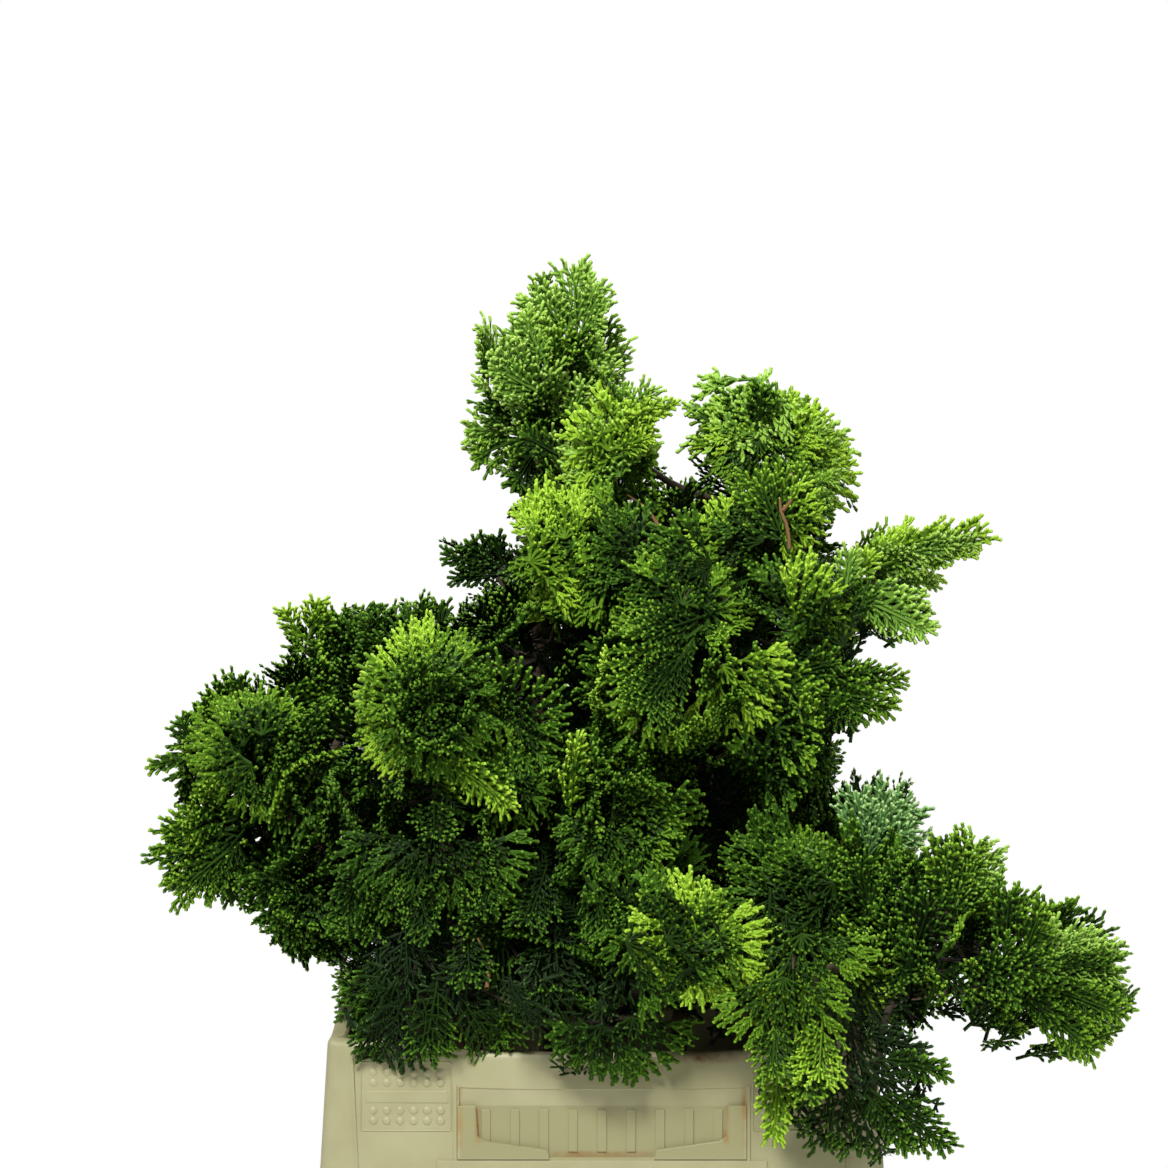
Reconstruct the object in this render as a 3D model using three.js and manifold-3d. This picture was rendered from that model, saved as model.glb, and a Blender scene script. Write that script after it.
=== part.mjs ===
// Dwarf hinoki cypress: leafy stems standing in a deep rectangular grower's container.
// Millimetres, +Z up. The origin is the centre of the container's flat underside,
// X runs along its short side, and -Y is the front.

import * as THREE from 'three';
import { mergeVertices } from 'three/addons/utils/BufferGeometryUtils.js';
import Module from 'manifold-3d';

const wasm = await Module();
wasm.setup();

// ---------------------------------------------------------------- driving dimensions

const CLEARANCE = 0.35; // between neighbouring solids

const POT = {
  height: 345, // to the rim between the corners
  cornerRise: 6, // the rim's corners stand this much higher
  rimX: 145, // half of the rim's short side
  rimY: 195, // half of its long side
  footX: 122, // half of the underside
  footY: 170,
  radius: 22, // corner radius in plan
  wall: 3,
  skirt: 86, // height of the skirt folded down from the rim
  flare: 5.5, // by which the skirt stands out further at its hem
};

const LABEL = {
  width: 150, // recess for a label card, on both short sides
  top: 19, // below the rim
  drop: 42,
  depth: 1.2,
  ribs: 9,
  ribWidth: 5,
  lip: 6, // width of the lips that hold the card
  lipFoot: 50, // length of a lip's foot
};

const TWIG_RADIUS = 2.6; // of a mass's own stem where it leaves its limb
const BLADES = 7; // sprays in a mass
const TEETH = 3; // points of a spray
const BLADE_THICKNESS = 0.06; // of its length
const CORE_SHARE = 1.0; // size of the dense middle, of a mass's reach, where it has room
const ROOT_SHARE = 0.62; // where in a mass its sprays are rooted
const SPRAY_SHARE = 0.66; // length of a spray
const UP = new THREE.Vector3(0, 0, 1);

// Stems stand on the container's floor. Boughs spring from a stem.
// Each is a smooth path from its foot to its tip, with the radius at both.
const FLOOR = POT.wall + CLEARANCE;
const FOOT = FLOOR - 4; // stems are drawn from here and cut off level at FLOOR
const LIMBS = [
  { name: 'stem_leader', radii: [8.5, 2.6],
    path: [[-20, 40, FOOT], [-26, 44, 240], [-34, 36, 480], [-34, 24, 655]] },
  { name: 'stem_crown', radii: [8, 3],
    path: [[32, 20, FOOT], [36, 16, 240], [56, 2, 460], [74, -12, 622]] },
  { name: 'stem_left', radii: [8, 3],
    path: [[-62, -10, FOOT], [-76, -14, 240], [-112, -18, 390], [-148, -14, 486]] },
  { name: 'stem_front', radii: [7.5, 3],
    path: [[0, -100, FOOT], [2, -112, 240], [14, -96, 400], [18, -82, 536]] },
  { name: 'stem_front_left', radii: [7, 2.8],
    path: [[-60, -110, FOOT], [-72, -126, 240], [-76, -150, 376], [-86, -128, 482]] },
  { name: 'stem_right', radii: [8, 3.4],
    path: [[74, -60, FOOT], [92, -96, 220], [108, -140, 340], [142, -172, 384]] },
  { name: 'stem_back', radii: [8.5, 3],
    path: [[10, 110, FOOT], [4, 120, 240], [10, 122, 420], [14, 108, 560]] },
  { name: 'stem_back_left', radii: [7.5, 3],
    path: [[-64, 96, FOOT], [-76, 108, 220], [-92, 116, 360], [-106, 112, 470]] },
  { name: 'bough_right_spray', radii: [3.2, 2.2], on: 'stem_crown', at: 0.74,
    path: [[95, 12, 548], [128, 20, 572]] },
  { name: 'bough_left_outer', radii: [3.2, 2.2], on: 'stem_left', at: 0.86,
    path: [[-160, -6, 440], [-186, 0, 470]] },
  { name: 'bough_right_limb', radii: [3.6, 2.4], on: 'stem_right', at: 0.92,
    path: [[168, -174, 374], [200, -172, 378]] },
];

// Masses of foliage: centre, reach along X, Y and Z, habit and the limb that carries each.
const MASSES = [
  ['leader_top', [-20, 20, 731], [25, 25, 25], 'plume', 'stem_leader'],
  ['leader_left', [-46, 5, 697], [27, 30, 27], 'plume', 'stem_leader'],
  ['leader_right', [-6, 30, 696], [24, 28, 26], 'plume', 'stem_leader'],
  ['leader_low', [-42, 26, 654], [36, 34, 28], 'plume', 'stem_leader'],
  ['crest_left', [11, -35, 662], [27, 30, 28], 'cup', 'stem_crown'],
  ['crown_left', [-20, -50, 602], [30, 40, 42], 'cup', 'stem_leader'],
  ['crest_mid', [28, 8, 608], [30, 38, 28], 'cup', 'stem_crown'],
  ['crown_mid', [40, -84, 583], [42, 44, 32], 'cup', 'stem_crown'],
  ['crown_right_top', [76, 15, 666], [35, 34, 29], 'plume', 'stem_crown'],
  ['crown_right_tip', [112, 30, 654], [28, 32, 30], 'plume', 'stem_crown'],
  ['crown_right', [94, -48, 615], [38, 42, 34], 'cup', 'stem_crown'],
  ['crown_right_low', [114, -78, 572], [32, 40, 32], 'cup', 'stem_crown'],
  ['spray_right', [174, 24, 592], [44, 34, 23], 'plume', 'bough_right_spray'],
  ['spray_right_low', [144, -10, 543], [31, 40, 31], 'plume', 'stem_crown'],
  ['shelf_mid', [34, -118, 538], [38, 42, 30], 'plume', 'stem_front'],
  ['side_right', [91, -90, 508], [38, 46, 36], 'cup', 'stem_front'],
  ['dark_left', [-62, 64, 574], [32, 40, 24], 'droop', 'stem_leader'],
  ['left_top', [-126, 26, 541], [54, 44, 31], 'cup', 'stem_left'],
  ['left_outer', [-201, 0, 494], [44, 46, 34], 'cup', 'bough_left_outer'],
  ['left_outer_low', [-212, -10, 440], [34, 44, 36], 'cup', 'stem_left'],
  ['left_low', [-160, -50, 412], [38, 48, 40], 'cup', 'stem_left'],
  ['left_mid', [-158, -60, 481], [39, 48, 38], 'cup', 'stem_left'],
  ['left_cup', [-94, -130, 526], [46, 42, 40], 'cup', 'stem_front_left'],
  ['centre_left', [-52, -120, 486], [38, 46, 40], 'cup', 'stem_front_left'],
  ['centre', [2, -134, 482], [40, 48, 38], 'cup', 'stem_front'],
  ['low_left', [-105, -124, 428], [40, 48, 38], 'cup', 'stem_front_left'],
  ['low_centre', [-38, -150, 414], [42, 46, 37], 'cup', 'stem_front_left'],
  ['low_mid', [12, -148, 422], [38, 46, 40], 'cup', 'stem_front'],
  ['skirt_left', [-102, -188, 362], [38, 32, 34], 'droop', 'stem_front_left'],
  ['skirt_mid', [-16, -206, 362], [56, 28, 32], 'droop', 'stem_front'],
  ['front_cup', [48, -202, 410], [36, 36, 40], 'cup', 'stem_front'],
  ['hanging', [99, -226, 362], [27, 24, 58], 'droop', 'stem_right'],
  ['right_mid', [126, -60, 446], [38, 48, 34], 'plume', 'stem_crown'],
  ['right_pale', [150, 66, 442], [30, 46, 28], 'plume', 'stem_crown'],
  ['right_low', [106, -134, 424], [40, 44, 38], 'cup', 'stem_right'],
  ['limb_top', [174, -146, 421], [41, 42, 36], 'plume', 'stem_right'],
  ['limb_mid', [212, -178, 391], [40, 38, 33], 'plume', 'bough_right_limb'],
  ['limb_end', [252, -158, 378], [34, 38, 40], 'plume', 'bough_right_limb'],
  ['skirt_right', [142, -214, 324], [38, 32, 42], 'droop', 'bough_right_limb'],
  ['left_skirt', [-132, 40, 392], [44, 62, 38], 'droop', 'stem_left'],
  ['right_skirt', [130, 8, 384], [46, 62, 38], 'droop', 'stem_crown'],
  ['back_top', [32, 90, 604], [54, 54, 44], 'cup', 'stem_back'],
  ['back_left_high', [-56, 130, 528], [58, 58, 50], 'cup', 'stem_back'],
  ['back_left', [-146, 92, 466], [52, 58, 48], 'cup', 'stem_back_left'],
  ['back_mid', [36, 180, 512], [64, 54, 56], 'cup', 'stem_back'],
  ['back_right', [100, 112, 506], [48, 60, 52], 'plume', 'stem_back'],
  ['back_low', [-86, 194, 412], [72, 52, 56], 'cup', 'stem_back_left'],
  ['back_low_right', [72, 200, 412], [72, 50, 56], 'cup', 'stem_back'],
];

// How each habit turns its sprays up or down, rolls them, and arches its stem.
const HABITS = {
  plume: { rise: 0.85, roll: 0.5, arch: -0.08 },
  cup: { rise: 0.45, roll: 0.9, arch: -0.08 },
  droop: { rise: -0.7, roll: 0.6, arch: 0.3 },
};

const COLOURS = {
  container: '#bdba92',
  bark: '#6b4a34',
  plume: '#6f8f35',
  cup: '#8faa3c',
  droop: '#3f5b39',
};

// ---------------------------------------------------------------- helpers

// A repeatable stream of numbers between 0 and 1.
function stream(seed) {
  let state = seed >>> 0;
  return () => {
    state = (Math.imul(state, 1664525) + 1013904223) >>> 0;
    return state / 4294967296;
  };
}

function toSolid(geometry) {
  const bare = new THREE.BufferGeometry();
  bare.setAttribute('position', geometry.getAttribute('position').clone());
  if (geometry.index) bare.setIndex(geometry.index.clone());
  const merged = mergeVertices(bare, 1e-4);
  const mesh = new wasm.Mesh({
    numProp: 3,
    vertProperties: new Float32Array(merged.getAttribute('position').array),
    triVerts: new Uint32Array(merged.index.array),
  });
  return new wasm.Manifold(mesh);
}

function toGeometry(solid) {
  const mesh = solid.getMesh();
  const geometry = new THREE.BufferGeometry();
  geometry.setAttribute('position', new THREE.BufferAttribute(mesh.vertProperties, 3));
  geometry.setIndex(new THREE.BufferAttribute(mesh.triVerts, 1));
  return geometry;
}

function largestPiece(solid) {
  const pieces = solid.decompose();
  pieces.sort((a, b) => b.volume() - a.volume());
  return pieces[0];
}

function touches(a, b) {
  const p = a.boundingBox();
  const q = b.boundingBox();
  return [0, 1, 2].every((k) => p.min[k] < q.max[k] && q.min[k] < p.max[k]);
}

function cutClear(solid, keepOut) {
  return touches(solid, keepOut) ? solid.subtract(keepOut) : solid;
}

function unite(solids) {
  return solids.reduce((whole, piece) => whole.add(piece));
}

// A closed solid through rings of equally many points, capped flat at both ends.
function loft(rings) {
  const count = rings[0].length;
  const points = rings.flat();
  const index = [];
  for (let r = 0; r + 1 < rings.length; r += 1) {
    for (let k = 0; k < count; k += 1) {
      const a = r * count + k;
      const b = r * count + ((k + 1) % count);
      index.push(a, b, b + count, a, b + count, a + count);
    }
  }
  const first = points.length;
  const last = (rings.length - 1) * count;
  points.push(middle(rings[0]), middle(rings[rings.length - 1]));
  for (let k = 0; k < count; k += 1) {
    const next = (k + 1) % count;
    index.push(first, next, k, first + 1, last + k, last + next);
  }
  return geometryOf(points, index);
}

function middle(points) {
  const sum = new THREE.Vector3();
  points.forEach((point) => sum.add(point));
  return sum.divideScalar(points.length);
}

function geometryOf(points, index) {
  const geometry = new THREE.BufferGeometry().setFromPoints(points);
  geometry.setIndex(index);
  return geometry;
}

// ---------------------------------------------------------------- container

// A rounded rectangle at height z. With a rise, its corners stand higher than its sides.
function potRing(halfX, halfY, z, radius = POT.radius, rise = 0) {
  const cornerSteps = 3;
  const sideStations = [0.6, 0, -0.6];
  const corners = [[1, 1], [-1, 1], [-1, -1], [1, -1]];
  const straightX = halfX - radius;
  const straightY = halfY - radius;
  const ring = [];
  corners.forEach(([signX, signY], quarter) => {
    for (let k = 0; k <= cornerSteps; k += 1) {
      const angle = (quarter + k / cornerSteps) * (Math.PI / 2);
      ring.push(new THREE.Vector3(
        signX * straightX + radius * Math.cos(angle),
        signY * straightY + radius * Math.sin(angle),
        z + rise,
      ));
    }
    const alongX = quarter % 2 === 0;
    for (const station of sideStations) {
      const height = z + rise * Math.abs(station) ** 3;
      ring.push(alongX
        ? new THREE.Vector3(signY * station * straightX, signY * halfY, height)
        : new THREE.Vector3(signX * halfX, -signX * station * straightY, height));
    }
  });
  return ring;
}

// Half-sizes of the body's outer face at a height under the rim.
function bodyHalf(z) {
  const share = z / POT.height;
  return [
    POT.footX + (POT.rimX - 6 - POT.footX) * share,
    POT.footY + (POT.rimY - 6 - POT.footY) * share,
  ];
}

function containerShell() {
  const { height, rimX, rimY, wall, skirt, flare, cornerRise, radius } = POT;
  const hem = height - skirt;
  const [hemX, hemY] = bodyHalf(hem);
  const [topX, topY] = bodyHalf(height);
  const [floorX, floorY] = bodyHalf(wall);
  const pocketTop = height - wall;
  const rings = [
    potRing(POT.footX - 3, POT.footY - 3, 0, radius - 6),
    potRing(POT.footX, POT.footY, 4, radius - 5),
    potRing(hemX, hemY, hem, radius - 3),
    potRing(topX, topY, pocketTop, radius - 2, cornerRise),
    potRing(rimX - wall, rimY - wall, pocketTop, radius, cornerRise),
    potRing(rimX + flare - wall, rimY + flare - wall, hem, radius),
    potRing(rimX + flare, rimY + flare, hem, radius),
    potRing(rimX, rimY, height - 2, radius, cornerRise),
    potRing(rimX - 2, rimY - 2, height, radius - 2, cornerRise),
    potRing(topX - wall, topY - wall, height, radius - 5, cornerRise),
    potRing(floorX - wall, floorY - wall, wall, radius - 8),
  ];
  return toSolid(loft(rings));
}

// The same container as a plain block with its cavity, fattened by the clearance.
function containerKeepOut() {
  const { height, rimX, rimY, wall, flare, cornerRise, radius } = POT;
  const [topX, topY] = bodyHalf(height);
  const [floorX, floorY] = bodyHalf(wall);
  const out = flare + CLEARANCE;
  const inward = wall + CLEARANCE;
  return toSolid(loft([
    potRing(rimX + out, rimY + out, -CLEARANCE, radius),
    potRing(rimX + out, rimY + out, height + CLEARANCE, radius, cornerRise),
    potRing(topX - inward, topY - inward, height + CLEARANCE, radius - 5, cornerRise),
    potRing(floorX - inward, floorY - inward, FLOOR, radius - 8),
  ]));
}

// A block on the skirt's sloping front face: x across, z down from the rim, out from the face.
function onSkirt(shape, x, down) {
  const slope = Math.atan2(POT.flare, POT.skirt);
  const geometry = shape.clone();
  geometry.translate(x, 0, -down);
  geometry.rotateX(-slope);
  geometry.translate(0, -POT.rimY, POT.height);
  return toSolid(geometry);
}

function labelLip(side) {
  const { width, drop, lip, lipFoot, top } = LABEL;
  const hold = 3; // by which a lip grows out of the skirt beside the recess
  const outline = new THREE.Shape();
  outline.moveTo(-side * hold, 0);
  outline.lineTo(-side * hold, -drop);
  outline.lineTo(side * lipFoot, -drop);
  outline.lineTo(side * lipFoot, lip - drop);
  outline.lineTo(side * (lip + 3), lip + 1 - drop);
  outline.lineTo(side * lip, 0);
  const bar = new THREE.ExtrudeGeometry(outline, { depth: 2.6, bevelEnabled: false });
  bar.rotateX(Math.PI / 2);
  bar.translate(0, 0.8, 0);
  return onSkirt(bar, -side * (width / 2), top + 9);
}

function labelRibs() {
  const { width, ribs, ribWidth, drop, top, depth } = LABEL;
  const pitch = (width - 20) / ribs;
  const bar = new THREE.BoxGeometry(ribWidth, 2 * depth, drop - 16);
  bar.translate(0, depth - 0.3, 0);
  return Array.from({ length: ribs }, (_, k) => {
    const x = (k - (ribs - 1) / 2) * pitch;
    return onSkirt(bar, x, top + drop / 2 + 4);
  });
}

function container() {
  const recess = new THREE.BoxGeometry(LABEL.width, 2 * LABEL.depth, LABEL.drop + 10);
  let pot = containerShell();
  for (const turn of [0, 180]) {
    const cut = onSkirt(recess, 0, LABEL.top + LABEL.drop / 2 + 4);
    pot = pot.subtract(cut.rotate([0, 0, turn]));
    for (const piece of [labelLip(1), labelLip(-1), ...labelRibs()]) {
      pot = pot.add(piece.rotate([0, 0, turn]));
    }
  }
  return pot;
}

// ---------------------------------------------------------------- stems and boughs

// Rings of a tapering limb along a smooth curve. The same curve with more
// radius gives the same limb fattened.
function limbRings(curve, startRadius, endRadius, sides, steps, extra = 0) {
  const rings = [];
  const across = new THREE.Vector3(1, 0, 0);
  for (let s = 0; s <= steps; s += 1) {
    const t = s / steps;
    const centre = curve.getPointAt(t);
    const along = curve.getTangentAt(t);
    across.addScaledVector(along, -across.dot(along)).normalize();
    const other = along.clone().cross(across);
    const radius = startRadius + (endRadius - startRadius) * t + extra;
    const ring = [];
    for (let k = 0; k < sides; k += 1) {
      const angle = (2 * Math.PI * k) / sides;
      ring.push(centre.clone()
        .addScaledVector(across, radius * Math.cos(angle))
        .addScaledVector(other, radius * Math.sin(angle)));
    }
    rings.push(ring);
  }
  return rings;
}

function curveThrough(points) {
  return new THREE.CatmullRomCurve3(points, false, 'centripetal');
}

const limbs = new Map();
const slab = new THREE.BoxGeometry(2 * POT.rimX, 2 * POT.rimY, POT.wall * 10);
const belowFloor = toSolid(slab.translate(0, 0, FLOOR - POT.wall * 5));

function growLimb({ name, radii, path, on, at }) {
  const points = path.map((p) => new THREE.Vector3(...p));
  if (on) points.unshift(limbs.get(on).curve.getPointAt(at));
  const curve = curveThrough(points);
  const steps = on ? 4 : 9;
  const sides = 6;
  const shape = (extra) => toSolid(loft(limbRings(curve, ...radii, sides, steps, extra)));
  let solid = shape(0).subtract(belowFloor);
  for (const other of limbs.values()) solid = cutClear(solid, other.keepOut);
  limbs.set(name, { curve, radii, solid: largestPiece(solid), keepOut: shape(CLEARANCE) });
}

// ---------------------------------------------------------------- masses of foliage

const masses = MASSES.map(([name, centre, reach, habit, on], order) => ({
  name,
  centre: new THREE.Vector3(...centre),
  reach: new THREE.Vector3(...reach),
  habit,
  on,
  order,
}));

// How far a mass reaches from its centre in one direction.
function reachToward(mass, direction) {
  const { x, y, z } = direction.clone().divide(mass.reach);
  return 1 / Math.hypot(x, y, z);
}

// Flat walls half way between a mass and each neighbour, in proportion to their reach.
function walls(mass) {
  return masses.filter((other) => other !== mass).map((other) => {
    const normal = other.centre.clone().sub(mass.centre);
    const distance = normal.length();
    normal.normalize();
    const own = reachToward(mass, normal);
    const share = own / (own + reachToward(other, normal));
    return { normal, offset: distance * share - CLEARANCE / 2 };
  });
}

const ROOM = { x: POT.rimX + POT.flare + 1, y: POT.rimY + POT.flare + 1, z: POT.height + 7 };

function insidePot(point) {
  return Math.abs(point.x) < ROOM.x && Math.abs(point.y) < ROOM.y && point.z < ROOM.z;
}

function inCell(mass, cell, point) {
  const local = point.clone().sub(mass.centre);
  return cell.every(({ normal, offset }) => local.dot(normal) < offset) && !insidePot(point);
}

// A mass's dense middle: a rounded body drawn in until it lies inside its cell.
function core(mass, cell) {
  const ball = new THREE.OctahedronGeometry(1, 1);
  const position = ball.getAttribute('position');
  for (let k = 0; k < position.count; k += 1) {
    const direction = new THREE.Vector3().fromBufferAttribute(position, k);
    const local = direction.clone().multiply(mass.reach).multiplyScalar(CORE_SHARE);
    for (const { normal, offset } of cell) {
      const height = local.dot(normal);
      if (height > offset) local.multiplyScalar(offset / height);
    }
    const point = local.add(mass.centre);
    position.setXYZ(k, point.x, point.y, point.z);
  }
  return toSolid(ball);
}

// Points of a spray: a fan of teeth about its middle, cupped like a shell.
function bladePoints(root, axis, side, length, cup) {
  const face = side.clone().cross(axis);
  const place = (across, up, lift) => root.clone()
    .addScaledVector(side, across * length)
    .addScaledVector(axis, up * length)
    .addScaledVector(face, lift * length);
  const outline = [place(0, 0, 0)];
  const spread = 1.0;
  for (let k = 0; k < 2 * TEETH - 1; k += 1) {
    const turn = ((k / (2 * TEETH - 2)) * 2 - 1) * spread;
    const tooth = k % 2 === 0;
    const radius = (tooth ? 1 : 0.68) * (1 - 0.32 * Math.abs(turn / spread) ** 2);
    const lift = cup * (radius * radius + Math.abs(turn) * 0.5);
    outline.push(place(radius * Math.sin(turn), radius * Math.cos(turn), lift));
  }
  const thick = BLADE_THICKNESS / 2;
  return { outline, front: place(0, 0.42, thick), back: place(0, 0.42, -thick) };
}

function blade({ outline, front, back }) {
  const points = [...outline, front, back];
  const count = outline.length;
  const index = [];
  for (let k = 0; k < count; k += 1) {
    const next = (k + 1) % count;
    index.push(count, next, k, count + 1, k, next);
  }
  return toSolid(geometryOf(points, index));
}

// Sprays spaced evenly round a mass, turned up or down by its habit.
function sprays(mass, cell) {
  const { rise, roll } = HABITS[mass.habit];
  const random = stream(1000 + mass.order * 77);
  const golden = Math.PI * (3 - Math.sqrt(5));
  const blades = [];
  for (let k = 0; k < BLADES; k += 1) {
    const height = 1 - (2 * (k + 0.5)) / BLADES;
    const angle = k * golden + random() * 0.6 + mass.order;
    const flat = Math.sqrt(1 - height * height);
    const out = new THREE.Vector3(flat * Math.cos(angle), flat * Math.sin(angle), height);
    const axis = out.clone().addScaledVector(UP, rise * (0.7 + 0.6 * random())).normalize();
    const side = axis.clone().cross(Math.abs(axis.z) > 0.95 ? out.set(1, 0, 0) : UP).normalize();
    side.applyAxisAngle(axis, (random() * 2 - 1) * roll);
    const root = mass.centre.clone()
      .add(out.clone().multiply(mass.reach).multiplyScalar(ROOT_SHARE));
    for (let length = reachToward(mass, axis) * SPRAY_SHARE; length > 10; length *= 0.86) {
      const shape = bladePoints(root, axis, side, length, 0.16);
      if (shape.outline.every((point) => inCell(mass, cell, point))) {
        blades.push(blade(shape));
        break;
      }
    }
  }
  return blades;
}

// Room between two stems, measured at stations along both.
function clearOf(curve, radius, other, otherRadius) {
  const need = (radius + otherRadius + CLEARANCE) * 1.15;
  const stations = other.getPoints(24);
  return curve.getPoints(16).every((point) => (
    stations.every((station) => station.distanceTo(point) > need)));
}

// Whether a stem would run through the container's wall or rim rather than over it.
function throughWall(curve) {
  const [innerX, innerY] = bodyHalf(POT.height).map((half) => half - POT.wall - TWIG_RADIUS);
  return curve.getPoints(16).some(({ x, y, z }) => (
    z < ROOM.z && Math.abs(x) < ROOM.x && Math.abs(y) < ROOM.y
    && (Math.abs(x) > innerX || Math.abs(y) > innerY)));
}

function isClear(mass, curve) {
  if (throughWall(curve)) return false;
  for (const [name, limb] of limbs) {
    const radius = (limb.radii[0] + limb.radii[1]) / 2;
    if (name !== mass.on && !clearOf(curve, TWIG_RADIUS, limb.curve, radius)) return false;
  }
  return masses.every((other) => (
    !other.twig || clearOf(curve, TWIG_RADIUS, other.twig.curve, TWIG_RADIUS)));
}

function twigFrom(mass, point) {
  const bend = point.clone().lerp(mass.centre, 0.5);
  bend.z += point.distanceTo(mass.centre) * HABITS[mass.habit].arch;
  return curveThrough([point, bend, mass.centre.clone()]);
}

// The mass's own stem springs from its limb where it runs shortest, rises and is clear.
function twigPath(mass) {
  const { curve } = limbs.get(mass.on);
  const first = mass.on.startsWith('bough') ? 0.5 : 0.3;
  const springs = [];
  for (let t = first; t < 0.995; t += 0.01) {
    const point = curve.getPointAt(t);
    const run = mass.centre.clone().sub(point);
    const fall = mass.habit === 'droop' ? 0 : Math.max(0, 0.35 * run.length() - run.z);
    const cost = run.length() + 1.2 * fall;
    springs.push({ point, cost });
  }
  springs.sort((a, b) => a.cost - b.cost);
  const curves = springs.map(({ point }) => twigFrom(mass, point));
  const found = curves.find((path) => isClear(mass, path));
  if (!found) throw new Error(`no free spring for ${mass.name}`);
  return found;
}

function growMass(mass) {
  const cell = walls(mass);
  const curve = twigPath(mass);
  const radii = [TWIG_RADIUS, TWIG_RADIUS * 0.6];
  const twig = (extra) => toSolid(loft(limbRings(curve, ...radii, 3, 3, extra)));
  mass.twig = { curve, solid: twig(0), keepOut: twig(CLEARANCE) };
  mass.leafy = unite([core(mass, cell), ...sprays(mass, cell)]);
}

// Foliage is cut clear of limbs and of other masses' stems, and keeps its one largest body.
function finishMass(mass) {
  let leafy = mass.leafy;
  for (const other of masses) {
    if (other !== mass) leafy = cutClear(leafy, other.twig.keepOut);
  }
  let whole = cutClear(leafy.add(mass.twig.solid), potKeepOut);
  for (const limb of limbs.values()) whole = cutClear(whole, limb.keepOut);
  return largestPiece(whole);
}

// ---------------------------------------------------------------- assembly

function part(name, solid, colour, roughness) {
  const material = new THREE.MeshStandardMaterial({ color: colour, roughness, metalness: 0 });
  const mesh = new THREE.Mesh(toGeometry(solid), material);
  mesh.name = name;
  return mesh;
}

const cypress = new THREE.Group();
cypress.name = 'potted_dwarf_hinoki_cypress';
cypress.add(part('container', container(), COLOURS.container, 0.45));

const potKeepOut = containerKeepOut();
LIMBS.forEach(growLimb);
for (const [name, limb] of limbs) cypress.add(part(name, limb.solid, COLOURS.bark, 0.9));

masses.forEach(growMass);
for (const mass of masses) {
  cypress.add(part(mass.name, finishMass(mass), COLOURS[mass.habit], 0.8));
}

export default cypress;
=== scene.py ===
"""Looks of a potted dwarf hinoki cypress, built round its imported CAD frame. Sizes are in millimetres
until they are put into a mesh, and then in metres. +Z is up and -Y is the front."""

import math

import bpy
import numpy as np
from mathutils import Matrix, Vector
from mathutils.geometry import tessellate_polygon


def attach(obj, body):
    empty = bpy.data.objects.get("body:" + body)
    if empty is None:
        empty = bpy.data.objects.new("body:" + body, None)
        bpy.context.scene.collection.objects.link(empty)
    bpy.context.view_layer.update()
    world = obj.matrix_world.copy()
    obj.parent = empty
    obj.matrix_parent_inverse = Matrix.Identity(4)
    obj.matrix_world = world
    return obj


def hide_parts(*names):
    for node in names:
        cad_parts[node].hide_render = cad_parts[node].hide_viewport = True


MM = 0.001
UP = np.array([0.0, 0.0, 1.0])
FRONT = np.array([0.0, -1.0, 0.0])
GOLDEN = math.pi * (3 - math.sqrt(5))
ANY_PHASE = (0, 6.28)  # a wave starts anywhere in its turn

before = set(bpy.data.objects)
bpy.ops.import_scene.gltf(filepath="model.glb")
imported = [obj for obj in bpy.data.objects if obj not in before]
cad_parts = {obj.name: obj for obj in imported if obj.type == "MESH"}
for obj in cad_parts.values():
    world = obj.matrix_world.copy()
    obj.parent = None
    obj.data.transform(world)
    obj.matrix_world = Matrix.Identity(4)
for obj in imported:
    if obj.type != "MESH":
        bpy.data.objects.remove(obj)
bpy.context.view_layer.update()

# ---------------------------------------------------------------- sizes, as in the CAD source

POT = {"height": 345, "corner_rise": 6, "rim_x": 145, "rim_y": 195, "foot_x": 122, "foot_y": 170,
       "radius": 22, "wall": 3, "skirt": 86, "flare": 5.5}
LABEL = {"width": 150, "top": 19, "plain": 9.5, "bottom": 55, "depth": 1.8, "ribs": 9,
         "rib_width": 5, "pitch": 15.3}
DOTS = {"first": 85, "pitch": 7.1, "columns": 6, "rows": (10, 15.5, 30, 35.5), "radius": 2.5,
        "height": 1.3}
BARS = {"pitch": 58, "width": 10, "top": 14, "bottom": 76, "depth": 1.0}
FLOOR = POT["wall"] + 0.35
TWIG_RADIUS = 2.6

# Limbs: radius at the foot and the tip, path, and for a bough the stem that carries it and where.
LIMBS = {
    "stem_leader": (8.5, 2.6, [(-20, 40, FLOOR), (-26, 44, 240), (-34, 36, 480), (-34, 24, 655)]),
    "stem_crown": (8, 3, [(32, 20, FLOOR), (36, 16, 240), (56, 2, 460), (74, -12, 622)]),
    "stem_left": (8, 3, [(-62, -10, FLOOR), (-76, -14, 240), (-112, -18, 390), (-148, -14, 486)]),
    "stem_front": (7.5, 3, [(0, -100, FLOOR), (2, -112, 240), (14, -96, 400), (18, -82, 536)]),
    "stem_front_left": (7, 2.8, [(-60, -110, FLOOR), (-72, -126, 240), (-76, -150, 376),
                                 (-86, -128, 482)]),
    "stem_right": (8, 3.4, [(74, -60, FLOOR), (92, -96, 220), (108, -140, 340), (142, -172, 384)]),
    "stem_back": (8.5, 3, [(10, 110, FLOOR), (4, 120, 240), (10, 122, 420), (14, 108, 560)]),
    "stem_back_left": (7.5, 3, [(-64, 96, FLOOR), (-76, 108, 220), (-92, 116, 360),
                                (-106, 112, 470)]),
    "bough_right_spray": (3.2, 2.2, [(95, 12, 548), (128, 20, 572)], "stem_crown", 0.74),
    "bough_left_outer": (3.2, 2.2, [(-160, -6, 440), (-186, 0, 470)], "stem_left", 0.86),
    "bough_right_limb": (3.6, 2.4, [(168, -174, 374), (200, -172, 378)], "stem_right", 0.92),
}


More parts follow.
